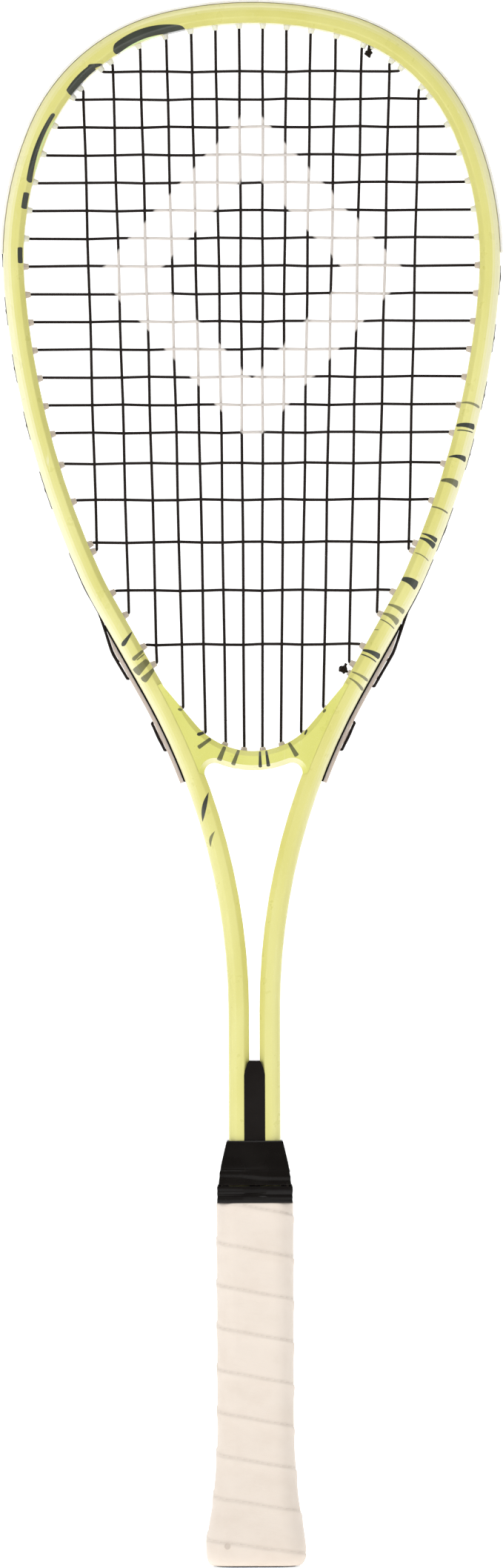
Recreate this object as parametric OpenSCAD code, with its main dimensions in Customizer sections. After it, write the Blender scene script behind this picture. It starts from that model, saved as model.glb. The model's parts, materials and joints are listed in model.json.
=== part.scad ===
// Squash racket: a hollow hoop with two legs, a moulded throat bridge, a one-piece string job
// held by moulded grommet strips, and a two-part pallet under a wrapped grip.
// +Z runs from the butt to the tip, the string bed lies in the XZ plane, and the front faces -Y.

/* [Frame] */
// Overall length from the butt to the tip
total_len = 685; // [680:1:686]
// Width of the frame tube in the plane of the strings
tube_w = 9; // [8.6:0.1:9.4]
// Depth of the frame tube from front to back
tube_d = 18.5; // [17:0.5:20]
// Wall thickness of the frame tube
wall = 1.3; // [1:0.1:1.5]
// Gap between the two parallel legs
leg_gap = 4.6; // [4:0.2:5]
// Depth of the string groove in the outer face
groove_depth = 1.9; // [1.7:0.1:2]
// Width of the string groove
groove_w = 7.5; // [7.3:0.1:8]

/* [Hoop outline, along the middle of the tube] */
// Radius of the arc at the tip
apex_r = 157; // [150:1:164]
// Half angle of the arc at the tip
apex_turn = 14.2; // [13:0.1:15]
// Radius of the shoulders
shoulder_r = 80.5; // [78:0.5:83]
// Angle that a shoulder turns through
shoulder_turn = 52.8; // [51:0.1:54]
// Radius where the hoop is widest
flank_r = 144; // [138:1:150]
// Angle that this stretch turns through
flank_turn = 27.6; // [26.5:0.1:28.5]
// Radius of the long sides
side_r = 380; // [372:1:388]
// Slope of the sides where they end, away from the long axis
side_slope = 24.5; // [24:0.1:25]
// Radius of the tighter bend above the throat
waist_r = 137; // [130:1:144]
// Slope of the straight stretch beside the throat
throat_slope = 29.35; // [29:0.05:29.7]
// Radius of the legs, which bend the other way until they are parallel
leg_r = 289; // [284:1:294]

/* [Throat bridge] */
// Radius of the bridge's upper edge
bridge_r = 33; // [32:0.5:34]
// Height of the upper edge's centre of curvature
bridge_z = 389.4; // [388:0.2:391]
// Half angle of the curved part of the upper edge
bridge_turn = 50; // [48:0.5:52]
// Thickness of the bar at the middle
bridge_h = 8.4; // [8:0.1:9]
// Depth of the bridge from front to back
bridge_d = 18; // [16:0.5:18.4]
// Height where the skirts end on the legs
skirt_z = 344; // [343:0.5:346]
// Radius of the fillets under the bridge
fillet_r = 4.5; // [4:0.25:5]

/* [Stringing] */
// Number of main strings
mains = 14; // [14:2:14]
// Number of cross strings
crosses = 19; // [19:1:19]
// String diameter
string_d = 1.25; // [1.1:0.05:1.3]
// Height of the topmost cross string
cross_top = 653.8; // [652:0.2:655]
// Spacing of the upper cross strings
cross_pitch = 12.15; // [12:0.05:12.3]
// Growth of the spacing near the throat
cross_growth = 1.28; // [1.2:0.02:1.36]
// Spacing of the main strings at the tip
main_pitch_top = 10.3; // [10.1:0.1:10.5]
// Spacing of the main strings at the throat
main_pitch_low = 8.3; // [8.2:0.1:8.5]
// Outer radius of a grommet barrel
barrel_r = 1.55; // [1.5:0.05:1.6]
// Radius of the bore through a barrel
barrel_bore = 0.85; // [0.8:0.05:0.95]
// How far a barrel stands out of the inner wall
barrel_out = 2.2; // [1.8:0.1:2.6]

/* [Handle] */
// Width of the wrapped grip
grip_w = 33.4; // [33:0.2:34]
// Depth of the wrapped grip
grip_d = 29; // [28:0.2:30]
// Height of the top of the wrap
grip_top = 158.9; // [155:0.1:162]
// Thickness of the wrap
wrap_t = 2; // [1.6:0.1:2.2]
// How far the butt flares out on each side
flare = 5.1; // [4:0.1:5.4]
// Height of the bottom of the rubber collar
collar_z = 166.7; // [166.7:0.1:168]
// Length of the rubber collar
collar_len = 19.4; // [18:0.2:21]
// How far the collar slides up the legs
collar_travel = 30; // [10:1:32]
// Height of the tip of the throat wedge
wedge_top = 221; // [219:0.5:226]

/* [Hidden] */
$fn = 48;

lime = [0.91, 0.91, 0.55];
bone = [0.86, 0.80, 0.76];
ink = [0.12, 0.10, 0.09];
fit = 0.05;                                  // clearance between pieces that touch
half_w = tube_w / 2;
leg_x = (leg_gap + tube_w) / 2;
bumper_out = 1.2;                            // how far the bumper stands proud of the tube
strip_floor = half_w - groove_depth + 0.85;  // offset of the outer face of a strip in the groove
tail_face = half_w + 2.4;                    // offset of the outer face of the proud tail strip
liner_t = 0.7;
lane = 1.35;                                 // offset in Y of the string loops outside the hoop
string_r = string_d / 2;
mouth_gap = 0.4;                             // distance from a barrel's tip to the bend of its string
weave = string_r + 0.055;                    // height of a string over the middle plane

// ---------------------------------------------------------------- outline of the hoop
// A heading t is 0 at the tip and 90 where the hoop runs straight down.
function dir(t) = [sin(t), cos(t)];
function along(t) = [cos(t), -sin(t)];
t1 = apex_turn;
t2 = t1 + shoulder_turn;
t3 = t2 + flank_turn;
t4 = 90 + side_slope;
t5 = 90 + throat_slope;
c1 = [0, total_len - bumper_out - half_w - apex_r];
c2 = c1 + (apex_r - shoulder_r) * dir(t1);
c3 = c2 + (shoulder_r - flank_r) * dir(t2);
c4 = c3 + (flank_r - side_r) * dir(t3);
c5 = c4 + (side_r - waist_r) * dir(t4);
ARCS = [[c1, apex_r, 0, t1], [c2, shoulder_r, t1, t2], [c3, flank_r, t2, t3],
        [c4, side_r, t3, t4], [c5, waist_r, t4, t5]];
tail_start = c5 + waist_r * dir(t5);
tail_len = (tail_start[0] - leg_x - leg_r * (1 - sin(t5))) / -cos(t5);
leg_centre = tail_start + tail_len * along(t5) + leg_r * dir(t5);
tail_rate = 3;                               // a station past t5 counts 3 mm for each unit

// Point at station q and offset u from the middle of the tube; q is negative on the left.
function arc_at(q) = q < t1 ? ARCS[0] : q < t2 ? ARCS[1] : q < t3 ? ARCS[2] : q < t4 ? ARCS[3] : ARCS[4];
function run(q) = (q - t5) * tail_rate;
function heading(q) = q < t5 ? q : t5 - max(0, run(q) - tail_len) / leg_r * 180 / PI;
function right_point(q, u) = q < t5 ? let (a = arc_at(q)) a[0] + (a[1] + u) * dir(q)
    : run(q) < tail_len ? tail_start + run(q) * along(t5) + u * dir(t5)
    : leg_centre - (leg_r - u) * dir(heading(q));
function flip(p, q) = q < 0 ? [-p[0], p[1]] : p;
function point(q, u) = flip(right_point(abs(q), u), q);
function normal(q) = flip(dir(heading(abs(q))), q);

// Station where the line through the barrels' mouths has height z, or has distance x from the long axis.
mouth_w = half_w + barrel_out + mouth_gap;
function wall_z(t) = right_point(t, -mouth_w)[1];
function wall_x(t) = right_point(t, -mouth_w)[0];
function on_arc_z(a, z) = acos((z - a[0][1]) / (a[1] - mouth_w));
function on_arc_x(a, x) = asin((x - a[0][0]) / (a[1] - mouth_w));
function station_z(z) = z > wall_z(t2) ? on_arc_z(ARCS[1], z) : z > wall_z(t3) ? on_arc_z(ARCS[2], z)
    : z > wall_z(t4) ? on_arc_z(ARCS[3], z) : z > wall_z(t5) ? on_arc_z(ARCS[4], z)
    : t5 + (wall_z(t5) - z) / sin(t5) / tail_rate;
function station_top_x(x) = x < wall_x(t1) ? on_arc_x(ARCS[0], x) : on_arc_x(ARCS[1], x);
function station_low_x(x) = x > wall_x(t4) ? 180 - on_arc_x(ARCS[3], x)
    : x > wall_x(t5) ? 180 - on_arc_x(ARCS[4], x) : t5 + (wall_x(t5) - x) / -cos(t5) / tail_rate;

// ---------------------------------------------------------------- ports, where a string leaves the bed
// A port is [station, mouth inside the bed, exit outside, outward direction, offset of the outer face].
bridge_c = [0, bridge_z];
knee = bridge_c + bridge_r * [sin(bridge_turn), -cos(bridge_turn)];
function bridge_top(x) = x < knee[0] ? [x, bridge_z - sqrt(bridge_r * bridge_r - x * x)]
                                     : [x, knee[1] + (x - knee[0]) * tan(bridge_turn)];
fan_top = 0.0235;                            // the mains spread more towards the sides
fan_low = 0.052;
function main_rank(i) = abs(i - (mains + 1) / 2);
function main_side(i) = i > mains / 2 ? 1 : -1;
function main_top_x(k) = main_pitch_top * k + fan_top * pow(k, 3);
function main_low_x(k) = main_pitch_low * k + fan_low * pow(k, 3);
function cross_z(j) = cross_top - cross_pitch * (j - 1) - cross_growth * pow(max(0, j - 14), 2);
channel = 2.8;                               // depth of the channel under the bridge
bridge_exit = channel - 1.05;                // depth in it of the strip's face, where a string comes out
ramp_from = 4;                               // the strip starts to rise this far below station t5
ramp_len = 18;                               // and rises over this length
function face_at(q) = let (share = max(0, run(abs(q)) - ramp_from) / ramp_len)
    strip_floor + min(1, share) * (tail_face - strip_floor);
function hoop_port(q, stand) = [q, point(q, -half_w - stand - mouth_gap), point(q, face_at(q)), normal(q),
                                face_at(q)];
function top_port(i) = hoop_port(main_side(i) * station_top_x(main_top_x(main_rank(i))), barrel_out);
function through_ear(s, x) = let (v = leg_centre - bridge_top(x), t = atan2(v[0], v[1]),
    q = t5 + (tail_len + (t5 - t) * PI / 180 * leg_r) / tail_rate)
    hoop_port(s * q, norm(v) - leg_r - half_w + 0.3);
function under_bridge(s, x) = let (m = bridge_top(x), d = (m - bridge_c) / bridge_r, f = [s * d[0], d[1]])
    [0, bridge_c + (bridge_r - 1.4) * f, bridge_c + (bridge_r + bridge_h - bridge_exit) * f, f, 0];
function low_port(i) = let (x = main_low_x(main_rank(i)), s = main_side(i), k = main_rank(i))
    k < 2 ? under_bridge(s, x) : k < 4 ? through_ear(s, x) : hoop_port(s * station_low_x(x), barrel_out);
function cross_port(j, s) = hoop_port(s * station_z(cross_z(j)), barrel_out);
tie_gap = 3.8;                               // distance of a tie-off hole from its main string
tie_upper_q = top_port(12)[0] + tie_gap / shoulder_r * 180 / PI;
tie_lower_q = low_port(12)[0] + 1.4;
function tie_port(q) = hoop_port(q, 1);
HOOP_PORTS = concat([for (i = [1:mains]) top_port(i)],
                    [for (i = [1:mains]) if (main_rank(i) > 2) low_port(i)],
                    [for (j = [1:crosses], s = [-1, 1]) cross_port(j, s)],
                    [tie_port(tie_upper_q), tie_port(tie_lower_q)]);
BRIDGE_PORTS = [for (i = [1:mains]) if (main_rank(i) < 2) low_port(i)];

// Places a shape that is drawn along +Z so that it runs from a point in the XZ plane along a direction.
module aim(p, d) {
    translate([p[0], 0, p[1]]) rotate([0, atan2(d[0], d[1]), 0]) children();
}

// ---------------------------------------------------------------- tube sections
// Replaces each corner of an outline by a short arc of the given radius.
function unit(v) = v / norm(v);
function eased(p, r, n) = let (m = len(p)) [for (i = [0:m - 1])
    let (a = p[(i + m - 1) % m], b = p[i], c = p[(i + 1) % m], ua = unit(a - b), uc = unit(c - b),
         h = acos(max(-1, min(1, ua * uc))) / 2, g = min(r / tan(h), norm(a - b) / 2.2, norm(c - b) / 2.2))
    for (k = [0:n]) let (w = k / n) b + g * (ua * pow(1 - w, 2) + uc * pow(w, 2))];
function both(p) = concat(p, [for (i = [len(p) - 1:-1:0]) [p[i][0], -p[i][1]]]);
half_d = tube_d / 2;
land = 5.2;                                  // half width of the flat outer face
crest = -0.2;                                // offset where the rounded shoulder meets the front face
bevel = 2.3;                                 // how far the inner bevel reaches into the front face
bevel_d = 2.9;                               // and how far it reaches down the inner wall
shoulder_pts = [for (a = [0:15:90]) [crest + (half_w - crest) * cos(a), land + (half_d - land) * sin(a)]];
inner_pts = eased([[crest - 0.3, half_d], [-half_w + bevel, half_d], [-half_w, half_d - bevel_d],
                   [-half_w, 3]], 0.9, 2);
groove_pts = [[half_w - groove_depth, groove_w / 2 - 0.4], [half_w, groove_w / 2]];
OUTSIDE = both(concat(groove_pts, shoulder_pts,
    [for (i = [3:8]) inner_pts[i]]));
core_x = half_w - groove_depth - wall;
INSIDE = both([[core_x, groove_w / 2], [half_w - wall - 0.3, land], [crest + 0.6, half_d - wall],
               [-half_w + bevel + 0.2, half_d - wall], [-half_w + wall, half_d - 3.4]]);

module tube_profile() {
    difference() {
        polygon(OUTSIDE);
        polygon(INSIDE);
    }
}

// Sweeps a profile, drawn as [offset, depth], along the right side of the hoop between two stations.
module arc_sweep(a, from, to) {
    translate([a[0][0], 0, a[0][1]]) rotate([90, 0, 0]) rotate([0, 0, 90 - to])
        rotate_extrude(angle = to - from) translate([a[1], 0]) children();
}
module tail_sweep(s0, s1) {
    aim(tail_start + s0 * along(t5), along(t5)) mirror([1, 0, 0]) linear_extrude(s1 - s0) children();
}
module leg_sweep(to) {
    translate([leg_centre[0], 0, leg_centre[1]]) rotate([90, 0, 0]) rotate([0, 0, 270 - t5])
        rotate_extrude(angle = t5 - to) translate([leg_r, 0]) mirror([1, 0]) children();
}
module leg_straight(z0, z1) {
    translate([leg_x, 0, z0]) linear_extrude(z1 - z0) children();
}
module hoop_sweep(from, to) {
    for (a = ARCS) {
        lo = max(from, a[2]);
        hi = min(to, a[3]);
        if (hi > lo) arc_sweep(a, lo, hi) children();
    }
}
// Short bands, a hair thicker than the tube, where one stretch of the outline meets the next.
JOINTS = concat([for (t = [t1, t2, t3, t4, t5]) [right_point(t, 0), t]],
                [[tail_start + tail_len * along(t5), t5], [[leg_x, leg_centre[1]], 90]]);
band_len = 1;
module bands(list) {
    for (i = list) aim(JOINTS[i][0] - band_len / 2 * along(JOINTS[i][1]), along(JOINTS[i][1]))
        mirror([1, 0, 0]) linear_extrude(band_len) children();
}
module band_profile() {
    difference() {
        envelope_profile(0.02);
        polygon([for (p = INSIDE) 0.985 * p]);
    }
}
leg_foot = 26;                               // height of the ends of the legs, inside the handle
module side_sweep() {
    hoop_sweep(t1, t5) children();
    tail_sweep(0, tail_len) children();
    leg_sweep(90) children();
    leg_straight(leg_foot, leg_centre[1]) children();
}
module both_sides() {
    children();
    mirror([1, 0, 0]) children();
}

// ---------------------------------------------------------------- frame
module port_bores(ports, r, back, front) {
    for (p = ports) aim(p[1] - back * p[3], p[3]) cylinder(r = r, h = norm(p[2] - p[1]) + back + front);
}
module frame_tube() {
    color(lime) difference() {
        union() {
            arc_sweep(ARCS[0], -t1, t1) tube_profile();
            both_sides() {
                side_sweep() tube_profile();
                bands([0:6]) band_profile();
            }
        }
        port_bores(HOOP_PORTS, barrel_r + 0.12, 0, 6);
    }
}
module envelope_profile(g) {
    polygon([for (p = OUTSIDE) [p[0] < 0 ? p[0] - g : p[0] + g, p[1] + sign(p[1]) * g]]);
}

// ---------------------------------------------------------------- throat bridge
seam_u = -half_w + bevel;                    // the bridge fills the inner bevel as far as this offset
bar_r = bridge_r + bridge_h;
// Centre of a fillet: it touches the bar's lower edge and cuts a little into the leg's inner wall.
fillet_a = bar_r + fillet_r;
fillet_b = leg_r + half_w + fillet_r - 0.3;
fillet_v = leg_centre - bridge_c;
fillet_s = (fillet_a * fillet_a - fillet_b * fillet_b + fillet_v * fillet_v) / (2 * norm(fillet_v));
fillet_h = sqrt(fillet_a * fillet_a - fillet_s * fillet_s);
fillet_u = unit(fillet_v);
fillet_c = bridge_c + fillet_s * fillet_u - fillet_h * [-fillet_u[1], fillet_u[0]];
fillet_on_bar = bridge_c + bar_r * unit(fillet_c - bridge_c);
// Heading on the leg's arc where the bridge's skirts end; its ears end where the arc starts.
skirt_t = 90 + asin((skirt_z - leg_centre[1]) / (leg_r + half_w));
slack = 1.3 * fit;
function leg_point(t, u) = leg_centre - (leg_r - u) * dir(t);
module bridge_blank() {
    reach = 14;                              // width of the blank beside a leg, before the voids are cut
    edge = [leg_point(t5, -half_w - reach), leg_point(t5, 1 - half_w), leg_point(skirt_t, 1 - half_w),
            leg_point(skirt_t, -half_w - reach)];
    difference() {
        polygon(concat(edge, [bridge_c - [0, bar_r + 1]],
                       [for (i = [len(edge) - 1:-1:0]) flip(edge[i], -1)]));
        both_flanks() translate(leg_centre) circle(r = leg_r + half_w + slack, $fn = 720);
    }
}
module bed_void() {
    knee_out = knee + 40 * [cos(bridge_turn), sin(bridge_turn)];
    translate(bridge_c) circle(r = bridge_r, $fn = 96);
    polygon([bridge_c, knee, knee_out, [0, knee_out[1] + 20], flip(knee_out, -1), flip(knee, -1)]);
}
// Fillers that bring the bridge's front and back flush with the tube, across its inner bevel.
module bevel_filler(f) {
    top = bridge_d / 2;
    u = seam_u - slack - (half_d - top) * bevel / bevel_d;
    leg_sweep(skirt_t) polygon([[-half_w - 1, f * (half_d - bevel_d + 0.1)],
        [-half_w - slack, f * (half_d - bevel_d)], [u, f * top], [-half_w - 1, f * top]]);
}
module under_bridge_void() {
    foot = skirt_z - 5;
    difference() {
        polygon([bridge_c, fillet_c, [fillet_c[0], foot], [-fillet_c[0], foot], flip(fillet_c, -1)]);
        translate(bridge_c) circle(r = bar_r, $fn = 96);
    }
    both_flanks() {
        translate(fillet_c) circle(r = fillet_r);
        translate([fillet_c[0] - 1, foot]) square([fillet_r + 1, fillet_c[1] - foot]);
    }
}
module both_flanks() {
    children();
    mirror([1, 0]) children();
}
// Disc with a sharp rim that bevels the edge of a hole of radius r.
module bevel_disc(r, chamfer) {
    rotate_extrude() polygon([[0, -chamfer], [r, -chamfer], [r + chamfer, 0], [r, chamfer], [0, chamfer]]);
}
bar_half = atan2(fillet_on_bar[0], bridge_z - fillet_on_bar[1]);
module throat_bridge() {
    chamfer = 2.2;
    color(lime) difference() {
        union() {
            rotate([90, 0, 0]) linear_extrude(bridge_d, center = true) bridge_blank();
            both_sides() for (f = [-1, 1]) bevel_filler(f);
        }
        rotate([90, 0, 0]) linear_extrude(tube_d + 2, center = true) {
            bed_void();
            under_bridge_void();
        }
        for (f = [-1, 1]) {
            translate([0, f * bridge_d / 2, bridge_z]) rotate([90, 0, 0]) {
                bevel_disc(bridge_r, chamfer, $fn = 96);
                rotate([0, 0, 270 - bar_half]) rotate_extrude(angle = 2 * bar_half, $fn = 96)
                    polygon([[bar_r, -chamfer], [bar_r + 1, -chamfer], [bar_r + 1, chamfer],
                        [bar_r, chamfer], [bar_r - chamfer, 0]]);
            }
            for (m = [0, 1]) mirror([m, 0, 0]) translate([fillet_c[0], f * bridge_d / 2, fillet_c[1]])
                rotate([90, 0, 0]) bevel_disc(fillet_r, chamfer);
        }
        // channel under the bar for the two short string loops
        translate([0, 0, bridge_z]) rotate([90, 0, 0]) rotate([0, 0, 238]) rotate_extrude(angle = 64)
            translate([bar_r - channel, -2.6]) square([channel + 1, 5.2]);
        port_bores(BRIDGE_PORTS, barrel_r + 0.12, 0, 3);
        port_bores([for (p = HOOP_PORTS) if (abs(p[0]) > t5 + 11) p], barrel_r + 0.12, 1, 0);
    }
}

// ---------------------------------------------------------------- grommet strips
// A barrel runs from just inside a strip's face to its tip in the string bed.
module barrels(ports) {
    for (p = ports) aim(p[1] + mouth_gap * p[3], p[3]) {
        cylinder(r1 = barrel_r - 0.35, r2 = barrel_r, h = 2);
        translate([0, 0, 2]) cylinder(r = barrel_r, h = norm(p[2] - p[1]) - mouth_gap - 2.4);
    }
}
module strip(ports) {
    color(bone) difference() {
        union() {
            children();
            barrels(ports);
        }
        port_bores(ports, barrel_bore, 1, 8);
    }
}
bumper_end = 89;
module head_bumper() {
    floor_u = half_w - groove_depth + fit;
    outer = half_w + bumper_out;
    lip = 6.4;
    bumper_profile = both([[strip_floor, 2.1], [outer - 0.3, 2.4], [outer, 2.8], [outer, 3.8],
        [outer - 0.5, 5.2], [half_w + 0.15, lip], [half_w + fit, lip - 0.1], [half_w + fit, 3.68],
        [floor_u, 3.3]]);
    ports = [for (p = HOOP_PORTS) if (abs(p[0]) < bumper_end) p];
    strip(ports) {
        arc_sweep(ARCS[0], -t1, t1) polygon(bumper_profile);
        both_sides() {
            hoop_sweep(t1, bumper_end) polygon(bumper_profile);
            bands([0, 1]) polygon([for (p = bumper_profile) [p[0] + 0.02 * sign(p[0] - strip_floor + 0.3),
                                                             p[1] + 0.02 * sign(p[1])]]);
        }
    }
}
tail_end_z = 343;                            // height of the ends of the proud tails
tail_drop = right_point(t5, tail_face)[1] + tail_len * along(t5)[1] - tail_end_z;
tail_leg_t = t5 - asin(tail_drop / (leg_r * sin(t5)));
module side_strip(s) {
    floor_u = half_w - groove_depth + fit;
    web = 3.3;
    ports = [for (p = HOOP_PORTS) if (p[0] * s > bumper_end) p];
    strip(ports) scale_side(s) {
        hoop_sweep(bumper_end + 0.4, t5) strip_section(floor_u, strip_floor, web);
        // saddles under the loops of the cross strings
        for (j = [s > 0 ? 8 : 9 : 2 : 17]) {
            q = (station_z(cross_z(j)) + station_z(cross_z(j + 1))) / 2;
            aim(right_point(q, strip_floor - 0.1), dir(q)) translate([-3, 0.3, 0]) cube([6, 2.4, 0.45]);
        }
        // web in the groove and proud band on top of the liner
        tail_sweep(0, tail_len) strip_section(floor_u, strip_floor, web);
        leg_sweep(tail_leg_t) strip_section(floor_u, strip_floor, web);
        bands([2:5]) strip_section(floor_u - 0.02, strip_floor + 0.02, web + 0.02);
        bands([5]) strip_section(half_w + liner_t + fit / 2, tail_face + 0.02, 5.02);
        proud_band(strip_floor - 0.1, web);
        proud_band(half_w + liner_t + fit, 5);
        tail_saddle();
    }
}
module scale_side(s) {
    if (s > 0) children();
    else mirror([1, 0, 0]) children();
}
module strip_section(u0, u1, y) {
    translate([u0, -y]) square([u1 - u0, 2 * y]);
}
// Band from the offset u0 to the proud face, with a ramp at its upper end.
module proud_band(u0, y) {
    start = ramp_from + max(0, (u0 - strip_floor) / (tail_face - strip_floor)) * ramp_len;
    full = ramp_from + ramp_len;
    aim(tail_start, along(t5)) mirror([1, 0, 0]) rotate([90, 0, 0]) linear_extrude(2 * y, center = true)
        polygon([[u0, start], [tail_face, full], [tail_face, tail_len], [u0, tail_len]]);
    leg_sweep(tail_leg_t) strip_section(u0, tail_face, y);
}
// Rounded cheek that carries the loop between the two mains that pass through the ears.
module tail_saddle() {
    qa = abs(low_port(10)[0]);
    qb = abs(low_port(11)[0]);
    half_chord = abs(qa - qb) * tail_rate / 2 - 1.2;
    rise = 0.9;
    r = (half_chord * half_chord + rise * rise) / (2 * rise);
    aim(right_point((qa + qb) / 2, tail_face - 0.05), dir(t5)) intersection() {
        translate([0, 0, rise - r]) rotate([90, 0, 0]) cylinder(r = r, h = 3, center = true, $fn = 128);
        translate([-half_chord, -1.5, 0]) cube([2 * half_chord, 3, rise + 1]);
    }
}
module side_strip_left() { side_strip(-1); }
module side_strip_right() { side_strip(1); }
module strip_liner(s) {
    inner = half_w + fit / 2;
    outer = half_w + liner_t;
    half_strip = 0.85;
    from_middle = 4.6;
    color(ink) scale_side(s) {
        for (y = [-1, 1]) translate([0, y * from_middle, 0]) {
            tail_sweep(ramp_from + 6, tail_len) strip_section(inner, outer, half_strip);
            leg_sweep(tail_leg_t) strip_section(inner, outer, half_strip);
            bands([5]) strip_section(inner - 0.01, outer + 0.01, half_strip + 0.02);
        }
    }
}
module strip_liner_left() { strip_liner(-1); }
module strip_liner_right() { strip_liner(1); }
module bridge_strip() {
    strip([for (p = BRIDGE_PORTS) [p[0], p[1] - 0.5 * p[3], p[2], p[3], p[4]]])
        translate([0, 0, bridge_z]) rotate([90, 0, 0]) rotate([0, 0, 239]) rotate_extrude(angle = 62)
            translate([bar_r - channel + fit, -2.5]) square([0.9, 5]);
}

// ---------------------------------------------------------------- strings
// Sweeps a round string along a path of [x, y, z] points as one closed solid.
sides = 6;                                   // corners of a string's cross-section
module string_solid(p) {
    n = len(p);
    steps = [for (i = [0:n - 2]) unit(p[i + 1] - p[i])];
    tangents = [for (i = [0:n - 1]) unit(steps[min(i, n - 2)] + steps[max(i, 1) - 1])];
    rings = [for (i = [0:n - 1]) let (t = tangents[i], e = unit(cross(t, [0, 1, 0])), f = cross(e, t))
        for (k = [0:sides - 1]) p[i] + string_r * (cos(360 / sides * k) * e + sin(360 / sides * k) * f)];
    faces = concat([[for (k = [0:sides - 1]) k]],
        [for (i = [0:n - 2], k = [0:sides - 1]) let (a = i * sides + k, b = i * sides + (k + 1) % sides)
            each [[a, a + sides, b + sides], [a, b + sides, b]]],
        [[for (k = [sides - 1:-1:0]) (n - 1) * sides + k]]);
    polyhedron(rings, faces, convexity = 10);
}
function lift(p, y) = [p[0], y, p[1]];
// Position of main i at height z, and whether main i and cross j meet inside the bed.
function main_x(i, z) = let (a = top_port(i)[1], b = low_port(i)[1])
    b[0] + (a[0] - b[0]) * (z - b[1]) / (a[1] - b[1]);
function meets(i, j) = let (z = cross_z(j)) z < top_port(i)[1][1] - 1 && z > low_port(i)[1][1] + 1
    && abs(main_x(i, z)) < cross_port(j, 1)[1][0] - 1;
function over(i, j) = (i + j) % 2 == 0 ? -weave : weave;
function main_down(i) = let (a = top_port(i), b = low_port(i)) concat(
    [lift(a[1] + 1.5 * a[3], 0), lift(a[1], 0)],
    [for (j = [1:crosses]) if (meets(i, j)) [main_x(i, cross_z(j)), over(i, j), cross_z(j)]],
    [lift(b[1], 0), lift(b[1] + 1.5 * b[3], 0)]);
function cross_right(j) = let (a = cross_port(j, -1), b = cross_port(j, 1)) concat(
    [lift(a[1] + 1.5 * a[3], 0), lift(a[1], 0)],
    [for (i = [1:mains]) if (meets(i, j)) [main_x(i, cross_z(j)), -over(i, j), cross_z(j)]],
    [lift(b[1], 0), lift(b[1] + 1.5 * b[3], 0)]);
function back(p) = [for (i = [len(p) - 1:-1:0]) p[i]];
// Loop outside the hoop from port a to port b, in a lane at y, with some stations between.
rise_u = string_r + 0.14;
hump = 0.5;                                  // how far a loop stands off the strip between its ends
turn_hoop = 1.1;                             // stations from a port to where its loop has changed lanes
turn_tail = 0.75;
function loop_u(q) = face_at(q) + rise_u;
function loop(a, b, y, n = 3) = let (qa = a[0], qb = b[0], turn = abs(qa) > t5 - 1 ? turn_tail : turn_hoop,
                                     g = sign(qb - qa) * turn)
    concat([lift(point(qa, a[4] + rise_u), 0)],
           [for (k = [0:n]) let (q = qa + g + (qb - qa - 2 * g) * k / n)
               lift(point(q, loop_u(q) + ((k > 0 && k < n) ? hump : 0)), y)],
           [lift(point(qb, b[4] + rise_u), 0)]);
function bridge_loop(a, b) = [for (d = [a[3], unit(a[3] + b[3]), b[3]])
    lift(bridge_c + (bar_r - bridge_exit + rise_u) * d, 0)];
function main_low_loop(i) = main_rank(i) < 2 ? bridge_loop(low_port(i), low_port(i - 1))
                                             : loop(low_port(i), low_port(i - 1), -lane, 3);
function pairs(i) = concat(back(main_down(i)), loop(top_port(i), top_port(i - 1), -lane, 2), main_down(i - 1),
                           i > 2 ? main_low_loop(i - 1) : []);
split_q = low_port(1)[0] - 1.2;              // where the mains' string becomes the crosses' string
function main_route() = concat(back(tail_route(low_port(14), tie_port(tie_lower_q), -2.75)),
    [for (i = [mains:-2:2]) each pairs(i)],
    [lift(point(low_port(1)[0], strip_floor + rise_u), 0), along_strip(split_q + 0.3, -lane)]);
// Loose end from port a along the groove and back in through the tie-off port b.
function tail_route(a, b, y) = concat(loop(a, b, y, 5), [lift(b[1] + 0.15 * b[3], 0)]);
function cross_pair_end(j, s) = j > 1 ? loop(cross_port(j, s), cross_port(j - 1, s), lane, 2) : [];
// The string changes lanes beside the split and follows the strip to the lowest cross.
function along_strip(q, y) = lift(point(q, loop_u(q)), y);
function cross_route() = let (a = split_q - 2.9, b = cross_port(crosses, -1)[0] + 0.75, steps = 8) concat(
    [along_strip(split_q, -lane), along_strip(split_q - 1.6, -lane)],
    [for (k = [0:steps]) along_strip(a + (b - a) * k / steps, lane)],
    [lift(point(cross_port(crosses, -1)[0], cross_port(crosses, -1)[4] + rise_u), 0)],
    [for (j = [crosses:-1:1]) each concat(j % 2 == 1 ? cross_right(j) : back(cross_right(j)),
        cross_pair_end(j, j % 2 == 1 ? 1 : -1))],
    tail_route(cross_port(1, 1), tie_port(tie_upper_q), lane));
module main_string() {
    color(ink) string_solid(main_route());
}
module cross_string() {
    color(ink) string_solid(cross_route());
}
knot_r = 1.35;                               // radius of a knot pulled tight
module tie_knot(q) {
    p = tie_port(q);
    color(ink) aim(p[1], -p[3]) {
        translate([0, 0, knot_r]) sphere(r = knot_r);
        translate([0, 0, 1.2 * knot_r]) rotate_extrude() translate([knot_r - 0.45, 0]) circle(r = string_r);
    }
}
module tie_knot_upper() { tie_knot(tie_upper_q); }
module tie_knot_lower() { tie_knot(tie_lower_q); }

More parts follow.
